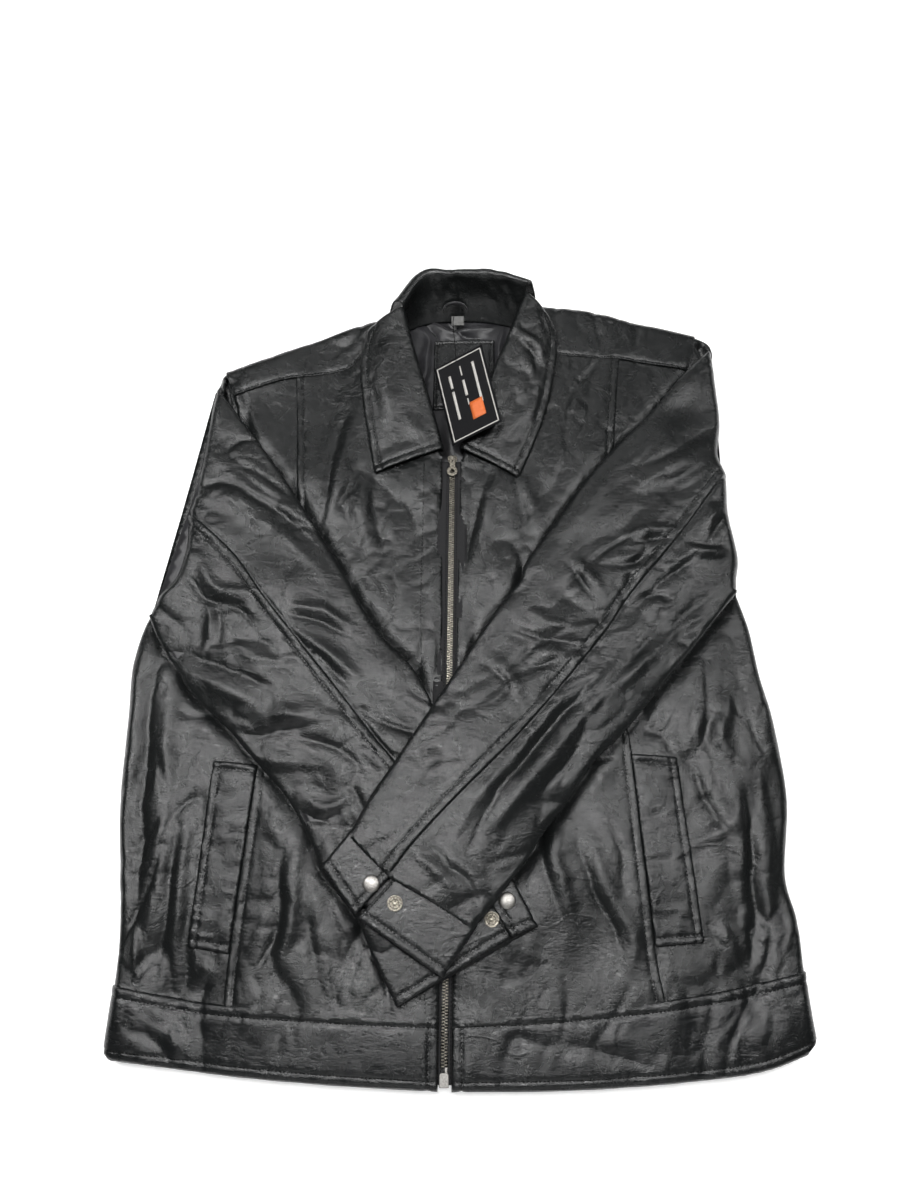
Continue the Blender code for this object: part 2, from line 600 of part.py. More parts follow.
def main():
    clear_scene()
    for group in (collection, guides):
        bpy.context.scene.collection.children.link(group)
    make_back()
    make_front("left", [(8, 531), (6, 43)], LEFT_PRINCESS, LEFT_NECKLINE, LEFT_YOKE_SEAM,
               LEFT_ARMHOLE, LEFT_SIDE, LEFT_BAND_SEAM)
    make_front("right", [(-10, 531), (-5, 43)], RIGHT_PRINCESS, RIGHT_NECKLINE, RIGHT_YOKE_SEAM,
               RIGHT_ARMHOLE, RIGHT_SIDE, RIGHT_BAND_SEAM)
    make_lining("left", [(17, 46), (180, 60), (280, 84), (282, 224), (268, 390), (236, 420), (236, 640),
                         (160, 664), (84, 672), (56, 640), (34, 596), (17, 548)])
    make_lining("right", [(-17, 46), (-180, 52), (-256, 64), (-268, 180), (-270, 330), (-250, 392),
                          (-220, 600), (-160, 636), (-88, 668), (-56, 640), (-34, 596), (-17, 548)])
    make_yoke("left", LEFT_YOKE_SEAM, LEFT_SHOULDER, 1)
    make_yoke("right", RIGHT_YOKE_SEAM, RIGHT_SHOULDER, -1)
    make_sleeve_head("left", LEFT_ARMHOLE, LEFT_HEAD, -1, LEFT_SLEEVE_BASE - 0.0009)
    make_sleeve_head("right", RIGHT_ARMHOLE, RIGHT_HEAD, 1, RIGHT_SLEEVE_BASE - 0.0017)
    make_waistband()
    make_pockets()
    make_collar()
    make_neck()
    make_zip()
    make_slider()
    make_pull()
    make_tag()
    left_pivot = (*place([(LEFT_FOLD_X, 545)])[0], LEFT_SLEEVE_BASE - 0.0005)
    right_pivot = (*place([(-262.8, 510)])[0], RIGHT_SLEEVE_BASE - 0.0013)
    make_sleeve("left", LEFT_SLEEVE, LEFT_MOUTH, left_base, left_top, -1, left_pivot)
    make_sleeve("right", RIGHT_SLEEVE, RIGHT_MOUTH, right_base, right_top, 1, right_pivot)
    for side, marks, base, top, outside, pivot in (
            ("left", LEFT_CUFF, left_base, left_top, 1, left_pivot),
            ("right", RIGHT_CUFF, right_base, right_top, -1, right_pivot)):
        edge = place(marks["high"])[0]
        tab_pivot = (edge.x, edge.y, top(edge.x, edge.y))
        cap, socket = make_cuff(side, marks, base, top, outside, pivot, tab_pivot)
        make_snaps(side, cap, socket, top)


main()
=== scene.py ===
"""Visual model of the leather zip jacket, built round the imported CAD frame.

Shapes are written in garment millimetres, x from the zip and y from the zip's lower end,
z up from the surface the jacket lies on. to_frame() turns them into the shared frame.
"""
import math
import bpy
import numpy as np
from mathutils import Matrix, Vector
from mathutils.geometry import delaunay_2d_cdt


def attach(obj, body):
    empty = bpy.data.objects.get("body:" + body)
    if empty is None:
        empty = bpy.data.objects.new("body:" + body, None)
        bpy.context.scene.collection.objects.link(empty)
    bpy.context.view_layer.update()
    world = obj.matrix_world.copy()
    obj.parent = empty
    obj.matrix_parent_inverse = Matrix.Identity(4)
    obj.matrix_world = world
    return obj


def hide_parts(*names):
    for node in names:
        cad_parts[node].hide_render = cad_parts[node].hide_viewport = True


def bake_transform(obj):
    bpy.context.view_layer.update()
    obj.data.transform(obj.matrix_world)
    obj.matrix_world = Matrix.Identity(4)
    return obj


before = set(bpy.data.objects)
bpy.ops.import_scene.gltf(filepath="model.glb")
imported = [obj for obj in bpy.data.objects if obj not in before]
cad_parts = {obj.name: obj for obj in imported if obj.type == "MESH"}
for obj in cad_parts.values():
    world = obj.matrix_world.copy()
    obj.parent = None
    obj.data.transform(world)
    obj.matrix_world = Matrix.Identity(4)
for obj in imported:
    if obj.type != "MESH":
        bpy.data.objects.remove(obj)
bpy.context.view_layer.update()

ZIP_X, ZIP_Y = -0.0045, -0.3715      # the garment's origin in the frame
BODY_TOP = 17.5                      # height of the front leather over the floor
HIDE = 1.1                           # thickness of one leather layer
LAP = 1.25                           # how far a lapped panel stands over its neighbour
THREAD = 0.42                        # radius of the topstitching thread
STITCH = 3.3                         # length of one stitch and its gap
STITCH_GAP = 0.19                    # share of it that stays open at each end
PUCKER = 0.28                        # height of the puckers along the stitch rows
FOLD_GAIN = 1.6                      # strength of all listed folds
SIDE_ROLL = 8.6                      # radius of the body's sides, where the front turns to the back
UNDER = 0.6                          # height at which the rolled sides come back underneath
RIM = 7.2                            # distance of the topstitching from a turned edge
LINING = 0.4                         # thickness of the satin
stitches = {}                        # body name -> list of (start, end, normal)


# ---- curves and distances: a path is an array of points, with its inside on the left ---
def spline(points, step=2.0, closed=False):
    """Catmull-Rom curve through the points, about step mm between its own points."""
    p = np.array(points, float)
    if closed:
        p = np.vstack([p[-1], p, p[0], p[1]])
    else:
        p = np.vstack([2 * p[0] - p[1], p, 2 * p[-1] - p[-2]])
    made = []
    for a, b, c, d in zip(p, p[1:], p[2:], p[3:]):
        count = max(1, round(float(np.linalg.norm(c - b)) / step))
        for t in np.arange(count) / count:
            made.append(0.5 * (2 * b + (c - a) * t + (2 * a - 5 * b + 4 * c - d) * t * t
                               + (3 * b - a - 3 * c + d) * t ** 3))
    if not closed:
        made.append(p[-2])
    return np.array(made)


def resample(path, step):
    """The path with evenly spaced points, about step mm apart."""
    lengths = np.concatenate([[0], np.cumsum(np.linalg.norm(np.diff(path, axis=0), axis=1))])
    count = max(1, int(round(lengths[-1] / step)))
    at = np.linspace(0, lengths[-1], count + 1)
    return np.stack([np.interp(at, lengths, path[:, i]) for i in range(path.shape[1])], axis=1)


def line(*points):
    return np.array(points, float)


def length_of(path):
    return np.linalg.norm(np.diff(path, axis=0), axis=1).sum()


def edges_of(corners):
    """The straight edges between corners, as paths with a point every 4 mm."""
    return [resample(np.array([a, b]), 4) for a, b in zip(corners, np.roll(corners, -1, axis=0))]


def run_of(path, low, high):
    """The part of the path between two heights of y."""
    return path[(path[:, 1] >= low) & (path[:, 1] <= high)]


def offset(path, distance):
    """The path moved to its left by distance."""
    tangent = np.gradient(path, axis=0)
    tangent /= np.linalg.norm(tangent, axis=1)[:, None] + 1e-9
    left = np.stack([-tangent[:, 1], tangent[:, 0]], axis=1)
    return path + left * distance


def extend(path, length):
    """The path made longer at both ends, straight on."""
    first = path[0] - path[min(3, len(path) - 1)]
    last = path[-1] - path[-min(4, len(path))]
    first = path[0] + first / np.linalg.norm(first) * length
    last = path[-1] + last / np.linalg.norm(last) * length
    return np.vstack([first, path, last])


def nearest(points, path):
    """Signed distance (left positive), nearest point, tangent and run along the path."""
    a, ab = path[:-1], np.diff(path, axis=0)
    squares = (ab ** 2).sum(1) + 1e-12
    runs = np.concatenate([[0], np.cumsum(np.sqrt(squares))])
    distance, close = np.empty(len(points)), np.empty((len(points), 2))
    tangent, along = np.empty((len(points), 2)), np.empty(len(points))
    for k in range(0, len(points), 4000):
        p = points[k:k + 4000]
        t = np.clip(((p[:, None] - a) * ab).sum(2) / squares, 0, 1)
        c = a + t[..., None] * ab
        gap = ((p[:, None] - c) ** 2).sum(2)
        best = gap.argmin(1)
        rows = np.arange(len(p))
        near, direction = c[rows, best], ab[best] / np.sqrt(squares[best])[:, None]
        away = p - near
        sign = np.where(direction[:, 0] * away[:, 1] - direction[:, 1] * away[:, 0] < 0, -1, 1)
        distance[k:k + 4000] = np.sqrt(gap[rows, best]) * sign
        close[k:k + 4000], tangent[k:k + 4000] = near, direction
        along[k:k + 4000] = runs[best] + t[rows, best] * np.sqrt(squares[best])
    return distance, close, tangent, along / runs[-1]


def inside(points, ring):
    """Which of the points lie inside the closed ring."""
    x, y = points[:, 0], points[:, 1]
    held = np.zeros(len(points), bool)
    for (ax, ay), (bx, by) in zip(ring, np.roll(ring, -1, axis=0)):
        crosses = (ay > y) != (by > y)
        if crosses.any():
            held ^= crosses & (x < (bx - ax) * (y - ay) / (by - ay + 1e-12) + ax)
    return held


def ease(t):
    """A soft step from 0 to 1."""
    t = np.clip(t, 0, 1)
    return t * t * (3 - 2 * t)


# ---- relief: noise and listed folds ---------------------------------------------------
def hashed(ix, iy, seed):
    """A scattered value from 0 to 1 for each cell of a grid."""
    value = np.sin(ix * 127.1 + iy * 311.7 + seed * 74.7) * 43758.5453
    return value - np.floor(value)


def rumple(x, y, size, seed):
    """Smooth noise from -1 to 1 with hills about size mm across."""
    x, y = x / size, y / size
    ix, iy = np.floor(x), np.floor(y)
    u, v = ease(x - ix), ease(y - iy)
    low = hashed(ix, iy, seed) * (1 - u) + hashed(ix + 1, iy, seed) * u
    high = hashed(ix, iy + 1, seed) * (1 - u) + hashed(ix + 1, iy + 1, seed) * u
    return 2 * (low * (1 - v) + high * v) - 1


def turned(x, y, angle):
    """The same points on axes turned by angle (degrees)."""
    c, s = math.cos(math.radians(angle)), math.sin(math.radians(angle))
    return x * c + y * s, -x * s + y * c


def creases(x, y, size, seed, angle=0.0, stretch=1.0):
    """Fine ridged noise, long along angle (degrees): shallow lines like those in soft hide."""
    along, across = turned(x, y, angle)
    along = along / stretch
    along = along + 0.35 * size * rumple(x, y, size * 2.1, seed + 5)
    across = across + 0.35 * size * rumple(x, y, size * 1.7, seed + 9)
    return 1 - 2 * np.abs(rumple(along, across, size, seed)) ** 0.7


def hills(x, y, size, seed):
    """Two turned layers of noise, so that no grid direction shows."""
    u, v = turned(x, y, 37)
    return 0.75 * (rumple(x, y, size, seed) + rumple(u, v, size * 0.93, seed + 0.5))


def hide_relief(x, y, seed, angle, strength=1.0):
    """The uneven lie of soft hide: broad hills, and patches of creases running along angle."""
    u, v = turned(x, y, angle)
    u = u + 9 * hills(x, y, 60, seed + 1)
    v = v + 7 * hills(x, y, 48, seed + 2)
    patch = ease((hills(x, y, 85, seed + 3) + 0.75) / 1.1)
    broad = 3.3 * hills(x, y, 66, seed + 4) + 1.6 * hills(u / 2.2, v, 29, seed + 5)
    long_lines = (1 - np.abs(hills(u / 2.6, v, 27, seed + 6))) ** 5
    short_lines = (1 - np.abs(hills(u / 1.7, v, 13, seed + 7))) ** 5
    fine = 0.30 * hills(u / 1.5, v, 11, seed + 8)
    return strength * (broad - patch * (2.6 * long_lines + 1.1 * short_lines) + fine)


def folds_at(x, y, folds):
    """Sum of listed folds: (points, height, width), and a lean that steepens one side."""
    warped_x = x + 1.6 * rumple(x, y, 19, 201) + 0.7 * rumple(x, y, 8, 203)
    warped_y = y + 1.6 * rumple(x, y, 23, 202) + 0.7 * rumple(x, y, 9, 204)
    points = np.stack([warped_x, warped_y], axis=1)
    total = np.zeros(len(points))
    for route, height, width, *leans in folds:
        lean = sum(leans)
        path = spline(route, 6.0)
        low, high = path.min(0) - 6 * width, path.max(0) + 6 * width
        near = np.all((points > low) & (points < high), axis=1)
        if not near.any():
            continue
        d, close, _, run = nearest(points[near], path)
        taper = np.sin(np.pi * np.clip(run, 0.02, 0.98)) ** 0.8
        past = np.linalg.norm(points[near] - close, axis=1)
        span = width * np.where(d > 0, 1 - lean, 1 + lean) * (0.35 + 0.65 * taper)
        tall = FOLD_GAIN * abs(height) ** 0.75 * taper
        if height < 0:
            # a tight valley between two soft ridges, the fuller one on the leaning side
            fuller = 1 + np.sign(d) * np.sign(lean) * 0.7
            flank = np.exp(-((past - 2.1 * width) / (1.5 * width)) ** 2)
            total[near] += 0.8 * tall * (0.36 * fuller * flank - np.exp(-(past / (0.62 * span)) ** 1.15))
        else:
            total[near] += tall * np.exp(-(past / (1.1 * span)) ** 2)
    return total


# ---- meshes ---------------------------------------------------------------------------
def to_frame(points):
    """Garment millimetres to the frame's metres."""
    return np.asarray(points, float) * 0.001 + (ZIP_X, ZIP_Y, 0.0)


def add_mesh(name, points, faces, look, body=None, thickness=0.0, nodes=(), smooth=True):
    """One piece of the jacket, in place of the CAD nodes. A piece that names no body is left unattached."""
    mesh = bpy.data.meshes.new(name)
    mesh.from_pydata([tuple(p) for p in to_frame(points)], [], faces)
    mesh.validate()
    mesh.materials.append(looks[look])
    mesh.polygons.foreach_set("use_smooth", [smooth] * len(mesh.polygons))
    made = bpy.data.objects.new(name, mesh)
    bpy.context.scene.collection.objects.link(made)
    if thickness:
        shell = made.modifiers.new("thickness", "SOLIDIFY")
        shell.thickness = thickness * 0.001
        shell.offset = -1
        shell.use_quality_normals = True
    if nodes:
        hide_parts(*nodes)
    if body:
        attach(made, body)
    return made


def triangulate(ring, extra, spacing):
    """Triangles over the inside of a closed ring, with the extra points and a hexagonal fill."""
    low, high = ring.min(0), ring.max(0)
    fill = []
    for k, y in enumerate(np.arange(low[1], high[1], spacing * 0.866)):
        x = np.arange(low[0] + (k % 2) * spacing / 2, high[0], spacing)
        fill.append(np.column_stack([x, np.full(len(x), y)]))
    fill = np.vstack(fill)
    fill = fill[inside(fill, ring)]
    closed = np.vstack([ring, ring[:1]])
    fill = fill[np.abs(nearest(fill, closed)[0]) > 0.6 * spacing]
    extra = extra[inside(extra, ring)]
    extra = extra[np.abs(nearest(extra, closed)[0]) > 0.45]
    # fill points that crowd an extra point are left out; the cells, 2 mm wide, keep the search short
    cell = {}
    for p in extra:
        cell.setdefault((int(p[0] // 2), int(p[1] // 2)), []).append(p)
    keep = []
    for p in fill:
        i, j = int(p[0] // 2), int(p[1] // 2)
        close = [q for a in (-1, 0, 1) for b in (-1, 0, 1) for q in cell.get((i + a, j + b), ())]
        keep.append(all((p[0] - q[0]) ** 2 + (p[1] - q[1]) ** 2 > 1.3 for q in close))
    points = np.vstack([ring, extra, fill[np.array(keep, bool)]])
    edges = [(i, (i + 1) % len(ring)) for i in range(len(ring))]
    made = delaunay_2d_cdt([Vector(p) for p in points], edges, [], 1, 0.01)
    return np.array([tuple(v) for v in made[0]]), [tuple(f) for f in made[2]]


def rim_profile(d, along, reach):
    """Height across a turned and topstitched edge: rounded lip, padded rim, sunk stitch row.

    along is the distance in mm along the edge: the stitches pucker the hide on either side.
    """
    lip = -1.0 * (1 - ease(d / 1.3))
    pad = 0.2 * np.sin(np.pi * np.clip(d / reach, 0, 1)) * (d > 0) * (d < reach)
    return np.where(d > -5, lip + pad + sewn_row(d - reach, along, 0.5 * reach), 0)


def sewn_row(d, along, reach):
    """The sunk line of a stitch row, d mm to its side, and the puckers it draws in the hide."""
    pucker = PUCKER * rumple(along, d * 0.4, 3.6, 15) * np.exp(-((d + 0.4 * reach) / reach) ** 2)
    return pucker - 0.8 * np.exp(-(d / 1.15) ** 2)


class Panel:
    """One cut piece of leather: a flat outline lifted on to a height, with rolled edges.

    rolls are (path, radius, low) with the inside on the left: the leather turns over the path
    and comes back underneath at height low. rims are (path, stitch distance, sewn), rows are
    further lines of stitches.
    """

    def __init__(self, top, rolls=(), rims=(), rise=0.0, detail=None, rows=()):
        self.top, self.rise, self.detail, self.rows = top, rise, detail, list(rows)
        self.rolls = [(extend(path, 40.0), radius, low) for path, radius, low in rolls]
        self.rims = list(rims)

    def lift(self, flat):
        """Points on the outer surface and its rough normals, for points of the flat outline."""
        p = flat.copy()
        count = len(p)
        normal = np.zeros((count, 3))
        normal[:, 2] = 1
        factor, low_at = np.ones(count), np.zeros(count)
        for path, radius, low in self.rolls:
            d, close, tangent, _ = nearest(p, path)
            m = d < radius
            if not m.any():
                continue
            theta = np.clip((radius - d[m]) / radius, 0, math.pi)
            inward = np.stack([-tangent[m, 1], tangent[m, 0]], axis=1)
            p[m] = close[m] + inward * (radius * (1 - np.sin(theta)))[:, None]
            share = (1 + np.cos(theta)) / 2
            lower = share < factor[m]
            where = np.flatnonzero(m)[lower]
            factor[where] = share[lower]
            low_at[where] = low if np.isscalar(low) else low(p[where, 0], p[where, 1])
            normal[where, :2] = -inward[lower] * np.sin(theta[lower])[:, None]
            normal[where, 2] = np.cos(theta[lower])
        z = self.top(p[:, 0], p[:, 1])
        z = low_at + (z - low_at) * factor
        raised = np.full(count, float(self.rise))
        for path, reach, _ in self.rims:
            d, _, _, run = nearest(flat, path)
            raised += np.where(d < reach + 6, rim_profile(d, run * length_of(path), reach), 0)
        for path in self.rows:
            d, _, _, run = nearest(flat, path)
            raised += np.where(np.abs(d) < 9, sewn_row(d, run * length_of(path), 3.0), 0)
        if self.detail:
            raised += self.detail(p[:, 0], p[:, 1]) * np.clip(factor, 0, 1)
        points = np.column_stack([p, z])
        return points + normal * (raised * np.clip(2.5 * factor, 0, 1))[:, None], normal

    def build(self, name, border, look, body, nodes=(), spacing=2.7, marks=(), thickness=HIDE):
        """The panel inside the border, meshed finer along its rims, rows and marks, and sewn."""
        extra = []
        for path, reach, _ in self.rims:
            for distance in (0.8, 1.9, reach - 1.1, reach, reach + 1.1):
                extra.append(resample(offset(path, distance), 1.7))
        extra += [resample(path, 1.6) for path in marks]
        extra += [resample(offset(path, d), 1.7) for path in self.rows for d in (-1.2, 0, 1.2)]
        extra = np.vstack(extra) if extra else np.empty((0, 2))
        ring = resample(np.vstack([border, border[:1]]), 2.2)[:-1]
        area = (ring[:, 0] * np.roll(ring[:, 1], -1) - np.roll(ring[:, 0], -1) * ring[:, 1]).sum()
        if area < 0:
            ring = ring[::-1]
        flat, faces = triangulate(ring, extra, spacing)
        made = add_mesh(name, self.lift(flat)[0], faces, look, body, thickness, nodes)
        for path, reach, sewn in self.rims:
            if sewn:
                self.sew(offset(path, reach), body or sewn, ring)
        for path in self.rows:
            self.sew(path, body, ring)
        return made

    def sew(self, path, body, ring=None):
        """Lay one row of topstitches along a path of the flat outline."""
        ends = resample(path, STITCH)
        if ring is not None:
            ends = ends[inside(ends, ring)]
        if len(ends) < 2:
            return
        steps = np.diff(ends, axis=0)
        near = np.linalg.norm(steps, axis=1) < 1.6 * STITCH
        gap = steps * STITCH_GAP
        first, normal = self.lift(ends[:-1] + gap)
        last, _ = self.lift(ends[1:] - gap)
        made = [(a, b, n) for a, b, n, ok in zip(first, last, normal, near) if ok]
        stitches.setdefault(body, []).extend(made)


def sew_all():
    """One mesh of stitches for each body, each stitch a slim six-sided spindle."""
    for body, rows in stitches.items():
        points, faces = [], []
        for a, b, n in rows:
            along = b - a
            length = np.linalg.norm(along)
            if length < 0.5:
                continue
            along /= length
            side = np.cross(along, n)
            side /= np.linalg.norm(side) + 1e-9
            up = np.cross(side, along)
            start = len(points)
            for t, r in ((0.0, 0.35), (0.22, 1.0), (0.78, 1.0), (1.0, 0.35)):
                centre = a + along * length * t + up * (0.10 - 0.25 * (1 - r))
                for k in range(6):
                    turn = k * math.pi / 3
                    points.append(centre + THREAD * r * (side * math.cos(turn) + up * math.sin(turn)))
            for k in range(3):
                for i in range(6):
                    j = (i + 1) % 6
                    p, q = start + k * 6, start + k * 6 + 6
                    faces.append((p + i, q + i, q + j, p + j))
            faces.append(tuple(start + i for i in range(6)))
            faces.append(tuple(start + 18 + i for i in range(5, -1, -1)))
        add_mesh("stitches_" + body, points, faces, "thread", body)


# ---- materials ------------------------------------------------------------------------
def new_look(name):
    """A new material: itself, its node tree, its shader and its object coordinates."""
    made = bpy.data.materials.new(name)
    made.use_nodes = True
    tree = made.node_tree
    shader = tree.nodes["Principled BSDF"]
    place = tree.nodes.new("ShaderNodeTexCoord")
    return made, tree, shader, place.outputs["Object"]


def noise_node(tree, place, scale, detail=3.0, roughness=0.55, distortion=0.0):
    node = tree.nodes.new("ShaderNodeTexNoise")
    node.inputs["Scale"].default_value = scale
    node.inputs["Detail"].default_value = detail
    node.inputs["Roughness"].default_value = roughness
    node.inputs["Distortion"].default_value = distortion
    tree.links.new(place, node.inputs["Vector"])
    return node.outputs["Fac"]


def ramp(tree, value, *stops):
    """Colour ramp: stops are (position, grey or colour)."""
    node = tree.nodes.new("ShaderNodeValToRGB")
    elements = node.color_ramp.elements
    while len(elements) < len(stops):
        elements.new(0.5)
    for element, (position, colour) in zip(elements, stops):
        element.position = position
        colour = (colour, colour, colour) if isinstance(colour, (int, float)) else colour
        element.color = (*colour, 1.0)
    tree.links.new(value, node.inputs["Fac"])
    return node.outputs["Color"]


def bump(tree, height, distance, strength=1.0, before=None):
    node = tree.nodes.new("ShaderNodeBump")
    node.inputs["Distance"].default_value = distance
    node.inputs["Strength"].default_value = strength
    tree.links.new(height, node.inputs["Height"])
    if before:
        tree.links.new(before, node.inputs["Normal"])
    return node.outputs["Normal"]


def leather(name, dark, light, gloss, grain):
    """Smooth black hide: pebble, pores, crackle, wrinkles, drawn lines, and patchy gloss."""
    made, tree, shader, place = new_look(name)
    cells = tree.nodes.new("ShaderNodeTexVoronoi")
    cells.feature = "DISTANCE_TO_EDGE"
    cells.inputs["Scale"].default_value = 620.0
    tree.links.new(place, cells.inputs["Vector"])
    pebble = ramp(tree, cells.outputs["Distance"], (0.0, 0.0), (0.16, 1.0))
    pores = noise_node(tree, place, 1500.0, 2.0)
    lines = tree.nodes.new("ShaderNodeMapping")
    lines.inputs["Rotation"].default_value = (0.0, 0.0, 0.5)
    lines.inputs["Scale"].default_value = (0.45, 1.0, 1.0)
    tree.links.new(place, lines.inputs["Vector"])
    wrinkle = noise_node(tree, lines.outputs["Vector"], 120.0, 4.0, 0.6, 0.3)
    tone = noise_node(tree, place, 16.0, 6.0, 0.62, 0.4)
    shader.inputs["Specular IOR Level"].default_value = 0.41
    tree.links.new(ramp(tree, tone, (0.32, dark), (0.70, light)), shader.inputs["Base Color"])
    wear = noise_node(tree, place, 42.0, 7.0, 0.68, 0.8)
    tree.links.new(ramp(tree, wear, (0.3, gloss - 0.07), (0.7, gloss + 0.10)), shader.inputs["Roughness"])
    crackle = noise_node(tree, lines.outputs["Vector"], 330.0, 5.0, 0.62, 0.2)
    crackle = ramp(tree, crackle, (0.36, 0.0), (0.5, 1.0), (0.64, 0.0))
    veins = noise_node(tree, lines.outputs["Vector"], 30.0, 1.5, 0.4)
    veins = ramp(tree, veins, (0.482, 0.0), (0.5, 1.0), (0.518, 0.0))
    patches = ramp(tree, noise_node(tree, place, 11.0, 2.0), (0.50, 0.0), (0.64, 1.0))
    drawn = tree.nodes.new("ShaderNodeMath")
    drawn.operation = "MULTIPLY"
    tree.links.new(veins, drawn.inputs[0])
    tree.links.new(patches, drawn.inputs[1])
    normal = bump(tree, drawn.outputs["Value"], 0.0006, 0.3)
    normal = bump(tree, wrinkle, 0.0006, 0.6, normal)
    normal = bump(tree, crackle, 0.00024, 0.45, normal)
    normal = bump(tree, pebble, 0.00010 * grain, 0.22, normal)
    normal = bump(tree, pores, 0.00004, 0.2, normal)
    tree.links.new(normal, shader.inputs["Normal"])
    return made


def satin():
    """The lining's diagonal weave."""
    made, tree, shader, place = new_look("satin_lining")
    weave = tree.nodes.new("ShaderNodeTexWave")
    weave.bands_direction = "DIAGONAL"
    weave.inputs["Scale"].default_value = 900.0
    tree.links.new(place, weave.inputs["Vector"])
    tone = noise_node(tree, place, 40.0, 4.0)
    tree.links.new(ramp(tree, tone, (0.3, (0.010, 0.010, 0.011)), (0.7, (0.020, 0.020, 0.023))),
                   shader.inputs["Base Color"])
    tree.links.new(ramp(tree, tone, (0.3, 0.30), (0.7, 0.44)), shader.inputs["Roughness"])
    tree.links.new(bump(tree, weave.outputs["Fac"], 0.00005, 0.5), shader.inputs["Normal"])
    shader.inputs["Sheen Weight"].default_value = 0.15
    return made


def metal(name, colour, tarnish, rough):
    """Plated metal with dull spots and fine scratches."""
    made, tree, shader, place = new_look(name)
    spots = noise_node(tree, place, 700.0, 4.0, 0.6)
    tree.links.new(ramp(tree, spots, (0.35, tarnish), (0.62, colour)), shader.inputs["Base Color"])
    tree.links.new(ramp(tree, spots, (0.3, rough + 0.14), (0.7, rough)), shader.inputs["Roughness"])
    shader.inputs["Metallic"].default_value = 1.0
    scratches = noise_node(tree, place, 2600.0, 2.0)
    tree.links.new(bump(tree, scratches, 0.00002, 0.4), shader.inputs["Normal"])
    return made


def cloth_look(name, dark, light, scale, rough, depth=0.0001, shine=0.4):
    """A woven or printed surface: two crossed wave patterns over a mottled colour."""
    made, tree, shader, place = new_look(name)
    warp = tree.nodes.new("ShaderNodeTexWave")
    weft = tree.nodes.new("ShaderNodeTexWave")
    weft.bands_direction = "Y"
    mix = tree.nodes.new("ShaderNodeMath")
    mix.operation = "MAXIMUM"
    for wave, slot in ((warp, 0), (weft, 1)):
        wave.inputs["Scale"].default_value = scale
        tree.links.new(place, wave.inputs["Vector"])
        tree.links.new(wave.outputs["Fac"], mix.inputs[slot])
    tone = noise_node(tree, place, 240.0, 4.0)
    tree.links.new(ramp(tree, tone, (0.3, dark), (0.7, light)), shader.inputs["Base Color"])
    tree.links.new(ramp(tree, tone, (0.3, rough), (0.7, rough + 0.1)), shader.inputs["Roughness"])
    tree.links.new(bump(tree, mix.outputs["Value"], depth, 0.5), shader.inputs["Normal"])
    shader.inputs["Specular IOR Level"].default_value = shine
    return made


looks = {
    "shell": leather("shell_leather", (0.0065, 0.0072, 0.0072), (0.0105, 0.0115, 0.0115), 0.235, 1.0),
    "trim": leather("trim_leather", (0.0055, 0.006, 0.0062), (0.0085, 0.0095, 0.0098), 0.235, 0.8),
    "satin": satin(),
    "tape": cloth_look("zip_tape", (0.007, 0.007, 0.008), (0.014, 0.014, 0.015), 420.0, 0.75),
    "thread": cloth_look("thread", (0.003, 0.003, 0.003), (0.006, 0.006, 0.006), 1500.0, 0.65, 0.00005, 0.15),
    "brass": metal("antique_metal", (0.40, 0.37, 0.31), (0.07, 0.065, 0.055), 0.32),
    "nickel": metal("nickel", (0.36, 0.35, 0.33), (0.22, 0.21, 0.20), 0.38),
    "card": cloth_look("tag_card", (0.005, 0.005, 0.006), (0.008, 0.008, 0.009), 2200.0, 0.55, 0.00002, 0.12),
    "print": cloth_look("card_print", (0.46, 0.45, 0.42), (0.56, 0.54, 0.51), 2200.0, 0.60, 0.00001),
    "sticker": cloth_look("sticker_paper", (0.62, 0.13, 0.028), (0.70, 0.17, 0.045), 2600.0, 0.45, 0.00001),
    "label": cloth_look("label_fabric", (0.12, 0.12, 0.115), (0.20, 0.20, 0.195), 900.0, 0.8, 0.00006),
}


# ---- camera, floor and light ----------------------------------------------------------
def add_camera():
    """Over the lower half of the jacket, tilted 20 degrees towards the collar."""
    data = bpy.data.cameras.new("camera")
    data.sensor_fit = "HORIZONTAL"
    data.sensor_width = 36.0
    data.lens = 38.0
    camera = bpy.data.objects.new("camera", data)
    camera.location = (-0.0010, -0.2731, 0.862)
    camera.rotation_euler = (math.radians(19.9), 0.0, math.radians(0.747))
    bpy.context.scene.collection.objects.link(camera)
    bpy.context.scene.camera = camera


def add_floor():
    """A plain white floor that glows a little, so that it stays pale far from the lamps."""
    mesh = bpy.data.meshes.new("floor")
    half = 20.0
    mesh.from_pydata([(-half, -half, 0), (half, -half, 0), (half, half, 0), (-half, half, 0)], [],
                     [(0, 1, 2, 3)])
    floor = bpy.data.objects.new("floor", mesh)
    floor.location.z = -0.0004
    bpy.context.scene.collection.objects.link(floor)
    made, tree, shader, place = new_look("floor_paint")
    tone = noise_node(tree, place, 3.0)
    tree.links.new(ramp(tree, tone, (0.3, 0.90), (0.7, 0.92)), shader.inputs["Base Color"])
    shader.inputs["Roughness"].default_value = 0.85
    shader.inputs["Emission Color"].default_value = (1.0, 1.0, 1.0, 1.0)
    shader.inputs["Emission Strength"].default_value = 0.45
    mesh.materials.append(made)


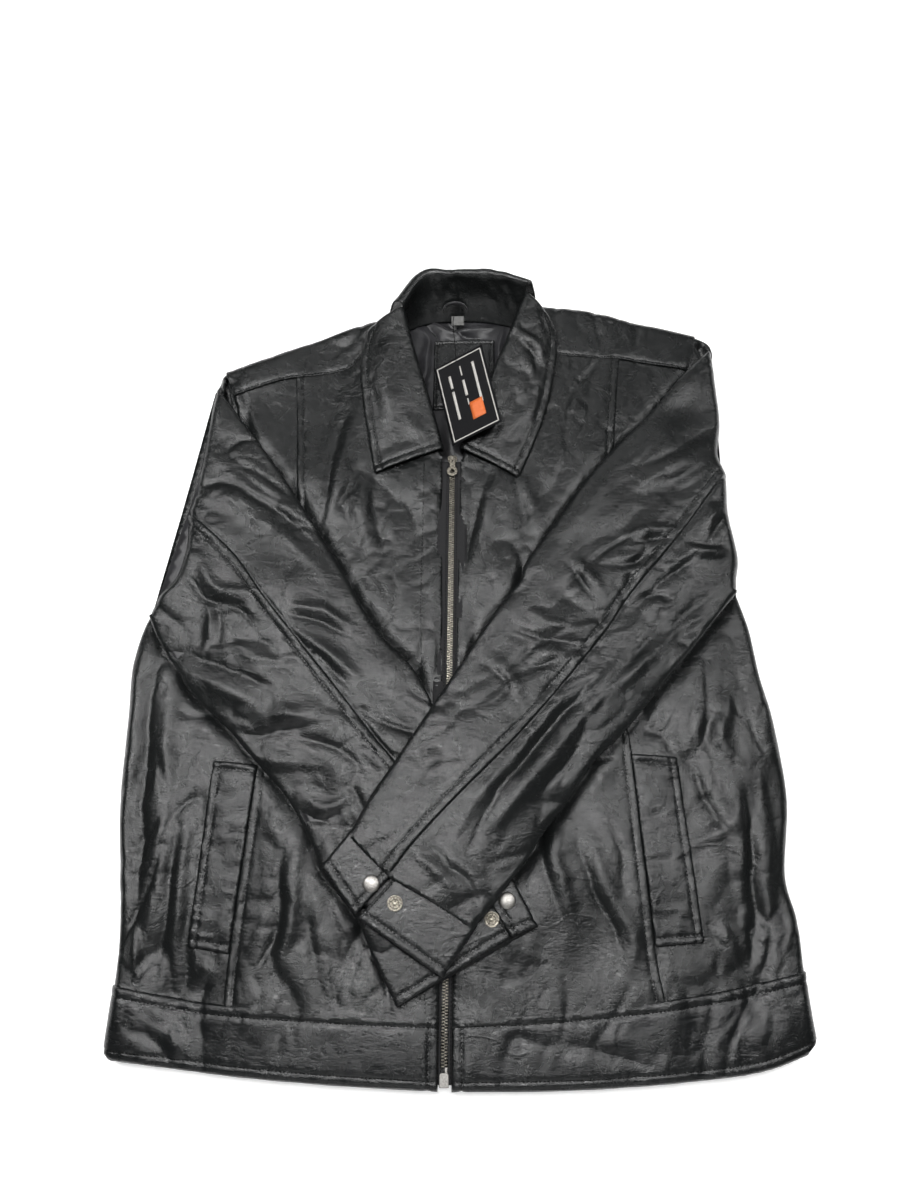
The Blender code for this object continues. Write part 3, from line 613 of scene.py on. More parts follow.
def add_light():
    """A dim white room with two long soft boxes over the sleeves, and one at each end."""
    world = bpy.data.worlds.new("studio")
    world.use_nodes = True
    world.node_tree.nodes["Background"].inputs["Color"].default_value = (1.0, 1.0, 1.0, 1.0)
    world.node_tree.nodes["Background"].inputs["Strength"].default_value = 0.05
    bpy.context.scene.world = world
    for name, place, target, size, power in (
            ("left_soft", (-0.50, 0.26, 1.7), (-0.1, 0.0, 0.0), (0.22, 1.6), 27.0),
            ("right_soft", (0.58, 0.26, 1.7), (0.1, 0.0, 0.0), (0.25, 1.6), 17.0),
            ("far_soft", (0.0, 1.9, 1.7), (0.0, 0.0, 0.0), (1.0, 0.35), 5.0),
            ("near_soft", (0.0, -1.5, 0.95), (0.0, 0.2, 0.0), (1.3, 0.5), 4.5)):
        light = bpy.data.lights.new(name, "AREA")
        light.shape = "RECTANGLE"
        light.size, light.size_y = size
        light.energy = power
        lamp = bpy.data.objects.new(name, light)
        lamp.location = place
        lamp.rotation_euler = (Vector(target) - Vector(place)).to_track_quat("-Z", "Y").to_euler()
        bpy.context.scene.collection.objects.link(lamp)
    bpy.context.scene.view_settings.view_transform = "Standard"


# ---- heights of the main surfaces -----------------------------------------------------
# each fold is (route, height, width) and a lean where it has one; a valley's height is negative
BODY_FOLDS = [
    # the chest, by the collar
    ([(-105, 612), (-118, 570), (-122, 520), (-128, 470)], -2.2, 5.0, 0.2),
    ([(-97, 610), (-108, 560), (-112, 510), (-120, 465)], 1.6, 7.0),
    ([(-76, 545), (-76, 500), (-66, 450), (-84, 425)], -1.8, 6.0, -0.2),
    ([(-88, 545), (-88, 500), (-80, 455)], 1.8, 9.0),
    ([(36, 548), (26, 505), (16, 455), (10, 400)], -2.0, 4.0, 0.2),
    ([(46, 548), (38, 505), (28, 455), (20, 410)], 1.8, 6.0),
    ([(60, 545), (68, 505), (70, 465), (60, 430)], -1.6, 5.0),
    ([(72, 540), (82, 500), (84, 470)], 1.4, 8.0),
    ([(128, 660), (118, 610), (104, 560), (98, 520)], 1.4, 10.0),
    ([(142, 660), (138, 620), (126, 575)], -1.2, 6.0),
    ([(-200, 620), (-196, 570), (-204, 530)], 1.4, 9.0),
    ([(-34, 470), (-22, 476), (-12, 480)], -0.9, 3.0),
    ([(-40, 440), (-24, 450), (-13, 462)], -1.0, 3.5),
    ([(-38, 415), (-22, 425), (-12, 436)], -0.8, 3.0),
    # the wearer's right side, from the armhole to the waistband
    ([(-268, 372), (-270, 300), (-268, 220), (-262, 150), (-262, 92)], -4.2, 6.5, 0.15),
    ([(-284, 350), (-283, 290), (-281, 220), (-276, 150), (-274, 90)], 1.6, 6.5),
    ([(-252, 360), (-250, 300), (-250, 230), (-246, 150), (-250, 80)], 1.8, 8.0),
    ([(-232, 200), (-236, 150), (-236, 110), (-240, 68)], -2.0, 4.0, 0.2),
    ([(-224, 190), (-228, 140), (-228, 70)], 1.6, 5.5),
    ([(-262, 112), (-256, 84), (-252, 66)], 2.6, 5.0, 0.3),
    ([(-216, 92), (-212, 66)], -1.6, 4.0),
    ([(-200, 84), (-196, 60)], 1.6, 5.0),
    ([(-140, 180), (-142, 140), (-140, 110), (-158, 72)], -2.4, 4.5, 0.25),
    ([(-128, 190), (-130, 140), (-132, 108), (-140, 76)], 1.8, 7.0),
    ([(-120, 150), (-100, 128), (-84, 90)], -1.2, 6.0),
    ([(-152, 220), (-148, 190), (-136, 170)], 1.0, 7.0),
    ([(-240, 330), (-226, 326), (-206, 322)], -1.0, 4.0),
    ([(-250, 296), (-232, 290), (-214, 292)], -1.1, 5.0),
    # the wearer's left side
    ([(262, 230), (263, 190), (262, 140), (262, 96)], -2.8, 4.0, 0.1),
    ([(252, 250), (253, 200), (252, 130), (250, 92)], 1.8, 7.0),
    ([(276, 250), (277, 200), (274, 130), (274, 92)], 1.8, 6.0),
    ([(214, 262), (226, 226), (236, 200), (252, 186)], -2.2, 4.5, 0.25),
    ([(204, 178), (222, 186), (246, 200), (256, 226)], 1.9, 6.5),
    ([(240, 300), (232, 276), (236, 258)], -2.4, 5.0),
    ([(262, 330), (250, 300), (246, 270), (262, 250)], 2.2, 6.0),
    ([(272, 300), (276, 276), (284, 256)], -1.8, 4.0),
    ([(232, 120), (240, 96), (244, 84)], 2.2, 6.0),
    ([(256, 118), (258, 98), (254, 86)], -1.8, 4.0),
    ([(80, 205), (84, 160), (98, 118)], -1.8, 4.5, 0.2),
    ([(90, 212), (95, 160), (108, 116)], 1.5, 6.5),
    ([(112, 190), (126, 142), (146, 100), (144, 78)], -2.3, 4.5, 0.25),
    ([(124, 190), (138, 146), (158, 104), (156, 80)], 1.7, 7.0),
    ([(142, 200), (150, 172), (152, 140)], -1.4, 4.0),
    ([(100, 262), (124, 256), (150, 256)], -1.0, 4.0),
    ([(40, 118), (64, 96), (76, 76)], 1.4, 8.0),
    ([(226, 92), (225, 78)], -1.2, 3.0),
    # the waistband
    ([(-262, 30), (-240, 26), (-220, 8)], -1.2, 5.0),
    ([(-222, 36), (-216, 16), (-214, 4)], 1.2, 6.0),
    ([(90, 26), (130, 16), (176, 6)], -1.0, 6.0),
    ([(240, 50), (252, 30), (258, 12)], 1.2, 9.0),
]


def within(points, upper, lower):
    """Distance inside the strip between two edges, negative outside, far out past their ends."""
    above, _, _, above_run = nearest(points, upper)
    below, _, _, below_run = nearest(points, lower)
    run = np.where(above < below, above_run, below_run)
    nearer = np.minimum(above, below)
    return np.where((run > 0) & (run < 1), nearer, np.minimum(nearer, -99))


WELT_MIDDLES = [line((184, 255), (195, 104)), line((-190, 245), (-199, 92))]


def body_height(x, y):
    """Top of the front leather, before laps: soft hills, listed folds, fine creases.

    The hide lies calmer under the pocket welts, and sinks below and beside the sleeves.
    """
    points = np.stack([x, y], axis=1)
    calm = np.maximum(*(np.exp(-(np.abs(nearest(points, middle)[0]) / 24) ** 4) for middle in WELT_MIDDLES))
    z = BODY_TOP + hide_relief(x, y, 3, 80) * np.interp(y, [20, 60], [0.55, 1.0]) * (1 - 0.6 * calm)
    z = z + folds_at(x, y, BODY_FOLDS)
    z = z + 0.10 * creases(x, y, 7.5, 8, 70, 1.8) + 0.05 * creases(x, y, 4.0, 11, 20, 1.6)
    z = z - 1.6 * np.exp(-(y + 14) / 14) * (y > -40)
    covered = np.maximum(within(points, LEFT_UPPER, LEFT_LOWER), within(points, RIGHT_UPPER, RIGHT_LOWER))
    z = z - 3.4 * np.interp(covered, [-14, -1], [0.0, 1.0]) ** 2
    ceiling = np.interp(covered, [-14, 2], [24.5, 19.2])
    return ceiling - np.logaddexp(0, (ceiling - z) * 1.2) / 1.2


LEFT_SIDE = spline([(303, 26), (300, 56), (299, 88), (298, 122), (292, 160), (301, 225), (295, 294),
                    (287, 335), (282, 380), (276, 405), (272, 424), (271, 445)])
RIGHT_SIDE = spline([(-270, 440), (-272, 422), (-279, 402), (-289, 372), (-294, 334), (-292, 290),
                     (-290, 219), (-283, 160), (-276, 110), (-275, 62), (-277, 9)])
LEFT_BAND = spline([(6, 42), (90, 47), (180, 57), (240, 67), (299, 81)])
RIGHT_BAND = spline([(-276, 63), (-230, 55), (-183, 49), (-84, 44), (-5, 42)])
LEFT_HEM = spline([(6, -12), (70, -11), (132, -8), (200, -2), (256, 6), (303, 22)])
RIGHT_HEM = spline([(-278, 8), (-220, 2), (-160, -4), (-80, -9), (-5, -12)])
LEFT_PRINCESS = spline([(180, 57), (175, 98), (164, 260), (160, 300), (158, 400), (162, 566), (172, 672)])
RIGHT_PRINCESS = spline([(-163, 650), (-152, 496), (-154, 380), (-161, 310), (-170, 246), (-181, 88),
                         (-182, 50)])
LEFT_YOKE = spline([(86, 679), (142, 673), (176, 671), (243, 660)])
RIGHT_YOKE = spline([(-225, 622), (-200, 633), (-164, 646), (-112, 658), (-97, 672), (-92, 676)])
LEFT_SHOULDER = spline([(262, 702), (252, 704), (206, 715), (145, 731), (100, 737), (82, 737)])
RIGHT_SHOULDER = spline([(-70, 719), (-90, 715), (-130, 699), (-180, 676), (-246, 648)])
LEFT_ARMHOLE = spline([(241, 408), (240, 500), (240, 580), (243, 660), (252, 695)])
RIGHT_ARMHOLE = spline([(-234, 646), (-225, 622), (-220, 600), (-230, 540), (-243, 470), (-252, 396)])
LEFT_NECK = spline([(9, 553), (30, 610), (50, 650), (78, 684)])
RIGHT_NECK = spline([(-82, 680), (-50, 650), (-30, 610), (-9, 553)])


def rolled(path, radius=SIDE_ROLL):
    """The flat edge that turns right round to the underside."""
    return offset(path, -(math.pi - 1) * radius)


def centre_fronts():
    """The panels from the zip to the princess seams, turned and stitched along both."""
    left_edge = resample(line((8.5, 556), (8, 531), (6, 300), (6, 36)), 4)
    left = [line((6, 34), (60, 38), (120, 43), (177, 50)), LEFT_PRINCESS, line((172, 680), (92, 688)),
            LEFT_NECK[::-1], left_edge]
    right_edge = resample(line((-5, 36), (-6, 300), (-10, 531), (-10.5, 556)), 4)
    right = [right_edge, RIGHT_NECK[::-1], line((-97, 686), (-163, 656)), RIGHT_PRINCESS,
             line((-178, 42), (-84, 37))]
    for side, border, edge, stitched, princess in (("left", left, left_edge, 22.0, LEFT_PRINCESS),
                                                   ("right", right, right_edge, 1.9, RIGHT_PRINCESS)):
        panel = Panel(body_height, rims=[(edge[::-1], stitched, True), (princess, RIM, True)], rise=LAP)
        panel.build("front_" + side, np.vstack(border), "shell", "jacket_body", ["front_panel_" + side])
    facing = line((-28, 548), (-28, 400), (-22, 200), (-16, 44))
    panel.sew(resample(facing, 4), "jacket_body")


def side_fronts():
    """The panels outside the princess seams, rolled round the sides to the back."""
    left_side, right_side = rolled(LEFT_SIDE), rolled(RIGHT_SIDE)
    left = [offset(LEFT_PRINCESS, 9)[::-1], line((167, 50), (240, 60), (290, 73)), run_of(left_side, 74, 436),
            line((246, 436)), run_of(LEFT_ARMHOLE, 438, 700), line((250, 694), (160, 682))]
    right = [offset(RIGHT_PRINCESS, 9)[::-1], line((-154, 655), (-232, 630)), run_of(RIGHT_ARMHOLE, 424, 640),
             line((-250, 424)), run_of(right_side, 56, 426), line((-262, 54), (-170, 42))]
    for side, fold, border in (("left", LEFT_SIDE, left), ("right", RIGHT_SIDE, right)):
        panel = Panel(body_height, [(fold, SIDE_ROLL, UNDER)])
        panel.build("front_side_" + side, np.vstack(border), "shell", "jacket_body",
                    [f"front_side_panel_{side}", f"side_panel_{side}"])


def yokes():
    """The shoulder yokes, lapped over the fronts and rolled over the shoulders."""
    left_flat, right_flat = rolled(LEFT_SHOULDER), rolled(RIGHT_SHOULDER)
    left = [LEFT_YOKE, line((247, 677), (252, 695)), left_flat[left_flat[:, 0] < 256],
            line((80, 730), (76, 690))]
    right = [RIGHT_YOKE, line((-72, 684), (-68, 708)), right_flat[right_flat[:, 0] > -241],
             line((-234, 646), (-229, 634))]
    for side, seam, shoulder, armhole, border in (
            ("left", LEFT_YOKE, LEFT_SHOULDER, line((243, 660), (252, 695)), left),
            ("right", RIGHT_YOKE, RIGHT_SHOULDER, line((-234, 646), (-225, 622)), right)):
        panel = Panel(body_height, [(shoulder, SIDE_ROLL, UNDER)],
                      [(seam, 2.4, True), (resample(armhole, 4), 1.5, False)], LAP * 2)
        panel.build("yoke_" + side, np.vstack(border), "shell", "jacket_body", ["shoulder_yoke_" + side])


def sleeve_heads():
    """The strip of sleeve beyond each armhole seam, sunk into a hollow where the sleeve turns over."""
    left = spline([(262, 408), (262, 600), (263, 650), (268, 672), (270.5, 684), (267, 695), (256, 702),
                   (240, 707), (206, 715)])
    left_flat = rolled(left)
    left_flat = left_flat[left_flat[:, 0] > 244][::-1]
    right = spline([(-180, 676), (-216, 661), (-234, 652), (-243, 641), (-244, 628), (-241, 604),
                    (-243, 552), (-247, 507), (-249, 453), (-256, 420), (-268, 398)])
    right_flat = rolled(right)
    right_flat = right_flat[right_flat[:, 0] < -228][::-1]
    depth, width = 10.0, 4.4
    for side, armhole, head, flat, hollow, row in (
            ("left", LEFT_ARMHOLE, left, left_flat, line((259, 691), (262, 680)), -2.4),
            ("right", RIGHT_ARMHOLE[::-1], right, right_flat, line((-245, 648), (-234, 614)), 2.4)):
        def height(x, y):
            points = np.stack([x, y], axis=1)
            past = np.linalg.norm(points - nearest(points, hollow)[1], axis=1)
            return body_height(x, y) - depth * np.exp(-(past / width) ** 2.5)
        panel = Panel(height, [(head, SIDE_ROLL, UNDER)], rise=LAP)
        border = np.vstack([armhole, flat[flat[:, 1] > 398]])
        panel.build(f"sleeve_head_{side}_leather", border, "shell", "jacket_body", ["sleeve_head_" + side])
        panel.sew(offset(armhole, row), "jacket_body")


def band_height(x, y):
    """The waistband: small ripples along it, and lower at the zip, where the pull passes."""
    return body_height(x, y) + 0.5 * rumple(x, y * 0.4, 9, 21) - 1.3 * np.exp(-(x / 11) ** 2)


def waistband():
    """The two halves of the band, rolled at the side and the hem, with a rounded corner between."""
    hem_roll, rim = 3.2, 8.0
    out = (math.pi - 1) * hem_roll

    def under(x, y):
        return np.full(len(x), BODY_TOP - 2 * hem_roll - 0.1)
    left_corner = LEFT_HEM[-1] + [(-9, -1.5), (-3.5, 3.5), (1.5, 10)]
    right_corner = RIGHT_HEM[0] + [(-1.5, 10), (3.5, 3.5), (9, -1.5)]
    left_edge, right_edge = line((6, 42), (6, -12)), line((-5, -12), (-5, 42))
    left = [LEFT_BAND[::-1], left_edge, offset(LEFT_HEM, -out)[:-9], left_corner,
            run_of(rolled(extend(LEFT_SIDE, 14)), 38, 80)]
    right = [right_edge, RIGHT_BAND[::-1], run_of(rolled(extend(RIGHT_SIDE, 14)), 24, 60), right_corner,
             offset(RIGHT_HEM, -out)[9:]]
    for side, top, hem, edge, fold, border in (
            ("left", LEFT_BAND[::-1], LEFT_HEM, left_edge, LEFT_SIDE, left),
            ("right", RIGHT_BAND[::-1], RIGHT_HEM, right_edge, RIGHT_SIDE, right)):
        rolls = [(fold, SIDE_ROLL, UNDER), (hem, hem_roll, under)]
        rims = [(top, rim, True), (resample(edge, 4), rim, True)]
        panel = Panel(band_height, rolls, rims, LAP, rows=[offset(hem, 6.5)])
        panel.build("waistband_" + side, np.vstack(border), "trim", "jacket_body",
                    ["waistband_front_" + side, "waistband_side_" + side])


def welts():
    """Pocket welts: a strip beside each princess seam, stitched on three sides."""
    for side, corners in (("left", line((163, 260), (204, 258), (216, 102), (175, 98))),
                          ("right", line((-181, 88), (-216, 93), (-209, 249), (-170, 246)))):
        edges = edges_of(corners)
        panel = Panel(lambda x, y: body_height(x, y) + 0.5 * creases(x, y, 9, 31, 5, 2.2) + 0.4,
                      rims=[(edge[::-1], 6.5, True) for edge in edges[:3]], rise=LAP * 1.6)
        panel.build("pocket_" + side, np.vstack(edges), "trim", "jacket_body",
                    ["pocket_welt_" + side, "pocket_bag_" + side])


def back():
    """The whole back, flat on the floor, with its yoke and waistband."""
    outline = np.vstack([spline([(292, 24), (289, 88), (282, 160), (290, 225), (284, 294), (273, 392),
                                 (262, 420), (262, 690)]),
                         spline([(250, 694), (206, 705), (145, 721), (96, 728)]),
                         spline([(64, 740), (20, 744), (-30, 740), (-60, 727)]),
                         spline([(-92, 706), (-130, 689), (-180, 666), (-232, 640)]),
                         spline([(-244, 620), (-270, 402), (-273, 372), (-283, 330), (-279, 219),
                                 (-272, 160), (-264, 62), (-266, 12)]),
                         spline([(-220, 4), (-160, -1), (-80, -6), (0, -9), (70, -8), (132, -5), (200, 1),
                                 (256, 9)])])
    panel = Panel(lambda x, y: 1.75 + 0.35 * rumple(x, y, 30, 41))
    panel.build("back_leather", outline, "shell", "jacket_body",
                ["back_panel", "back_yoke", "waistband_back"], spacing=6.0)


def linings():
    """Back lining, with its folds inside the neck, and the linings under both fronts."""
    neck_folds = [
        ([(-44, 722), (-26, 700), (-32, 640), (-18, 580)], 5.0, 4.5, 0.3),
        ([(-34, 726), (-18, 706), (-14, 690)], -2.6, 3.0, 0.3),
        ([(-26, 728), (-6, 712), (16, 716), (44, 722)], 4.5, 3.6, 0.4),
        ([(-10, 724), (10, 708), (40, 708)], -3.0, 3.0),
        ([(54, 722), (46, 690), (50, 640), (36, 590)], 5.0, 4.5, -0.3),
        ([(-10, 612), (0, 580), (4, 550)], 3.0, 7.0),
        ([(20, 612), (14, 580), (10, 556)], 2.6, 6.0, 0.1),
        ([(60, 726), (70, 690), (72, 650)], 3.0, 6.0)]
    outline = spline([(-258, 64), (-180, 52), (0, 46), (180, 60), (276, 84), (276, 224), (262, 390),
                      (250, 420), (250, 684), (110, 716), (64, 730), (20, 736), (-30, 732), (-60, 718),
                      (-100, 694), (-222, 634), (-228, 600), (-258, 402), (-264, 330), (-262, 180)],
                     4.0, closed=True)
    panel = Panel(lambda x, y: 3.2 + 0.5 * rumple(x, y, 22, 51) + folds_at(x, y, neck_folds))
    # extra rows of points where the lining shows inside the neck
    rows = [line((-62, y), (84, y)) for y in np.arange(560, 734, 1.9)]
    made = panel.build("back_lining_cloth", outline, "satin", "jacket_body", ["back_lining"], 5.0, rows,
                       LINING)
    for side, points in (("left", [(17, 46), (180, 60), (276, 84), (276, 224), (262, 390), (236, 420),
                                   (236, 640), (160, 664), (84, 672), (56, 640), (34, 596), (17, 548)]),
                         ("right", [(-17, 46), (-180, 52), (-256, 64), (-262, 180), (-264, 330),
                                    (-250, 392), (-220, 600), (-160, 636), (-88, 668), (-56, 640),
                                    (-34, 596), (-17, 548)])):
        panel = Panel(lambda x, y: 9.6 + 0.5 * rumple(x, y, 25, 61))
        made = panel.build("front_lining_cloth_" + side, spline(points, 4.0, closed=True), "satin",
                           "jacket_body", ["front_lining_" + side], spacing=6.0, thickness=LINING)


# ---- sleeves --------------------------------------------------------------------------
LEFT_FOLD = spline([(270, 402), (271, 425), (274, 448), (268, 490), (269, 528), (264, 555), (269, 593),
                    (268, 630), (266, 690)])
LEFT_UPPER = spline([(268, 681), (235, 648), (197, 600), (156, 556), (128, 522), (103, 484), (71, 437),
                     (64, 416), (42, 387), (4, 326), (-15, 296), (-46, 247), (-65, 218), (-79, 191)])
LEFT_LOWER = spline([(28, 116), (37, 126), (68, 167), (83, 189), (104, 216), (128, 250), (157, 278),
                     (195, 324), (214, 345), (243, 381), (272, 416)])
LEFT_SEAM = spline([(272, 530), (260, 525), (217, 467), (167, 406), (136, 361), (66, 277), (5, 214),
                    (-27, 179), (-46, 154)])
RIGHT_FOLD = spline([(-241, 640), (-245, 604), (-248, 552), (-252, 507), (-257, 486), (-254, 453),
                     (-260, 422), (-275, 402), (-284, 376)])
RIGHT_UPPER = spline([(53, 156), (22, 225), (-14, 300), (-34, 336), (-69, 373), (-106, 436), (-120, 458),
                      (-170, 534), (-219, 600), (-244, 632)])
RIGHT_LOWER = spline([(-284, 390), (-270, 360), (-249, 330), (-232, 307), (-196, 275), (-183, 261),
                      (-164, 241), (-138, 213), (-114, 172), (-108, 156), (-77, 119), (-63, 94)])
RIGHT_SEAM = spline([(-262, 488), (-252, 484), (-206, 443), (-176, 403), (-148, 369), (-102, 314),
                     (-71, 276), (-46, 246), (-10, 190), (20, 146)])
LEFT_SLEEVE_FOLDS = [
    ([(172, 532), (212, 552), (261, 585)], -2.4, 9.0),
    ([(171, 511), (213, 536), (256, 574)], 2.2, 10.0),
    ([(190, 590), (222, 620), (252, 655)], 1.0, 10.0),
    ([(158, 455), (182, 459), (216, 464)], -1.6, 3.2, 0.3),
    ([(160, 463), (186, 468), (214, 472)], 1.5, 5.0),
    ([(143, 430), (171, 435), (200, 456)], -1.5, 3.0, 0.2),
    ([(146, 422), (172, 427), (200, 444)], 1.3, 5.0),
    ([(218, 460), (234, 455), (262, 457)], -1.9, 3.0, -0.2),
    ([(222, 452), (238, 446), (262, 448)], 1.6, 5.0),
    ([(244, 460), (252, 476), (266, 487)], -2.4, 4.0, 0.2),
    ([(240, 470), (246, 486), (262, 500)], 1.6, 6.0),
    ([(108, 436), (120, 416), (134, 396)], -1.6, 4.0, 0.25),
    ([(118, 440), (132, 418), (144, 400)], 1.2, 6.0),
    ([(50, 374), (81, 362), (108, 357), (133, 359)], -2.2, 5.0, 0.3),
    ([(66, 388), (99, 374), (138, 375)], 2.2, 8.0),
    ([(72, 350), (100, 342), (126, 344)], 1.2, 6.0),
    ([(24, 340), (46, 324), (52, 310), (38, 297)], -1.2, 2.6, 0.2),
    ([(36, 346), (56, 326), (62, 306), (48, 290)], 1.0, 5.0),
    ([(200, 428), (222, 444), (250, 452)], 1.4, 6.0),
    ([(168, 398), (184, 403), (198, 405), (198, 392)], -1.4, 2.8),
    ([(172, 388), (188, 392), (206, 396)], 1.2, 5.0),
    ([(194, 376), (172, 350), (152, 329), (128, 304)], -1.8, 3.4, 0.2),
    ([(242, 384), (211, 374), (178, 342), (150, 312)], 1.6, 6.0),
    ([(154, 348), (97, 284), (43, 220), (21, 176), (19, 162)], -3.0, 4.5, 0.25),
    ([(142, 312), (112, 278), (50, 204), (40, 180)], 2.2, 7.0),
    ([(110, 316), (70, 268), (30, 220), (2, 176)], 1.4, 5.0),
    ([(-16, 178), (2, 160), (17, 148), (28, 118)], -1.8, 3.6, 0.3),
    ([(-30, 170), (-6, 154), (10, 134)], 1.3, 5.0),
    ([(10, 290), (2, 284), (0, 272)], -1.0, 3.0),
    ([(-10, 262), (-20, 240), (-40, 222)], 1.2, 8.0),
    ([(160, 540), (130, 500), (96, 450)], 1.4, 11.0),
    ([(190, 500), (160, 470), (140, 446)], -1.0, 9.0),
    ([(60, 400), (40, 372), (14, 330)], 1.0, 10.0),
]
RIGHT_SLEEVE_FOLDS = [
    ([(-254, 514), (-217, 517), (-186, 500), (-150, 474), (-128, 452)], -2.8, 7.0, 0.2),
    ([(-254, 498), (-221, 505), (-195, 490), (-164, 464), (-128, 434)], 2.6, 9.0),
    ([(-254, 508), (-244, 506), (-230, 503)], -1.2, 2.4),
    ([(-254, 497), (-244, 496), (-232, 492)], -1.1, 2.4),
    ([(-243, 420), (-232, 401), (-212, 392), (-180, 393)], -2.2, 4.0, 0.3),
    ([(-236, 432), (-222, 412), (-206, 404), (-178, 404)], 1.8, 6.0),
    ([(-222, 384), (-196, 387), (-174, 367)], -1.6, 3.4, 0.2),
    ([(-227, 400), (-222, 370), (-225, 346)], 1.6, 4.4),
    ([(-218, 396), (-212, 370), (-214, 350)], -1.0, 4.0),
    ([(-228, 348), (-194, 350), (-173, 341), (-130, 340)], 1.6, 4.5),
    ([(-200, 362), (-176, 356), (-150, 354)], -0.9, 5.0),
    ([(-246, 349), (-218, 337), (-181, 322), (-150, 311)], -2.0, 6.5),
    ([(-256, 335), (-221, 317), (-170, 296), (-130, 286)], 2.0, 9.0),
    ([(-152, 383), (-124, 378), (-91, 362)], -2.3, 4.0, 0.3),
    ([(-150, 391), (-122, 388), (-90, 372)], 1.3, 5.0),
    ([(-147, 372), (-124, 354), (-80, 323)], 1.9, 6.0),
    ([(-142, 364), (-116, 340), (-84, 310)], -1.6, 5.0, 0.2),
    ([(-141, 430), (-148, 410), (-156, 392)], 1.3, 6.0),
    ([(-196, 276), (-170, 270), (-151, 274), (-108, 280)], -2.0, 5.0, 0.2),
    ([(-184, 262), (-162, 250), (-112, 243)], 1.4, 6.0),
    ([(-186, 290), (-150, 288), (-112, 296)], 1.4, 8.0),
    ([(-130, 206), (-110, 197), (-86, 209)], -1.5, 3.0, 0.2),
    ([(-126, 216), (-106, 209), (-86, 220)], 1.1, 4.0),
    ([(-240, 560), (-224, 540), (-206, 528)], 1.0, 12.0),
    ([(-110, 150), (-90, 160), (-70, 158)], 1.0, 7.0),
    ([(0, 200), (14, 180), (22, 160)], -1.2, 4.0),
    ([(-20, 130), (0, 142), (12, 150)], 1.0, 5.0),
]


def left_base(x):
    """Height of the left sleeve's underside, which climbs over the right sleeve."""
    return 24.5 + 0.045 * (270 - x)


def right_base(x):
    return np.full(np.shape(x), 21.3)


def sleeve_height(base, upper, lower, folds, seed, lie):
    """Top of one sleeve: a flattened tube with a fuller middle, its folds and its rumples."""
    def height(x, y):
        points = np.stack([x, y], axis=1)
        above = np.clip(nearest(points, upper)[0], 0.01, None)
        below = np.clip(nearest(points, lower)[0], 0.01, None)
        across = (above - below) / (above + below)
        z = base(x) + 10.5 * (0.70 + 0.46 * (1 - np.abs(across) ** 2.1))
        z = z + hide_relief(x, y, seed, lie, 0.95) + folds_at(x, y, folds)
        return z + 0.1 * creases(x, y, 7, seed + 2, 50, 1.8) + 0.05 * creases(x, y, 3.8, seed + 3, 120, 1.5)
    return height


SEAM_LENGTH = 640                    # of one sleeve's long seam
SEAM_ROW = 7.6                       # distance of the seam's stitch row


def lap_detail(seam):
    """The relief of a lapped seam inside a panel: its right side stands over its left side."""
    def detail(x, y):
        d, _, _, run = nearest(np.stack([x, y], axis=1), seam)
        over = 1.15 * np.exp(-(np.minimum(d, 0) / 12) ** 2) * (1 - ease((d + 0.5) / 0.7))
        pad = 0.15 * np.sin(np.pi * np.clip(-d / SEAM_ROW, 0, 1))
        groove = 0.9 * np.exp(-((d - 0.9) / 1.1) ** 2)
        return over + pad + sewn_row(-d - SEAM_ROW, run * SEAM_LENGTH, 4.0) - groove
    return detail


left_sleeve_height = sleeve_height(left_base, LEFT_UPPER, LEFT_LOWER, LEFT_SLEEVE_FOLDS, 71, 35)
right_sleeve_free = sleeve_height(right_base, RIGHT_UPPER, RIGHT_LOWER, RIGHT_SLEEVE_FOLDS, 81, -30)


def right_sleeve_height(x, y):
    """The lower sleeve stays under the one that crosses it."""
    return np.minimum(right_sleeve_free(x, y), left_base(x) - 1.2)


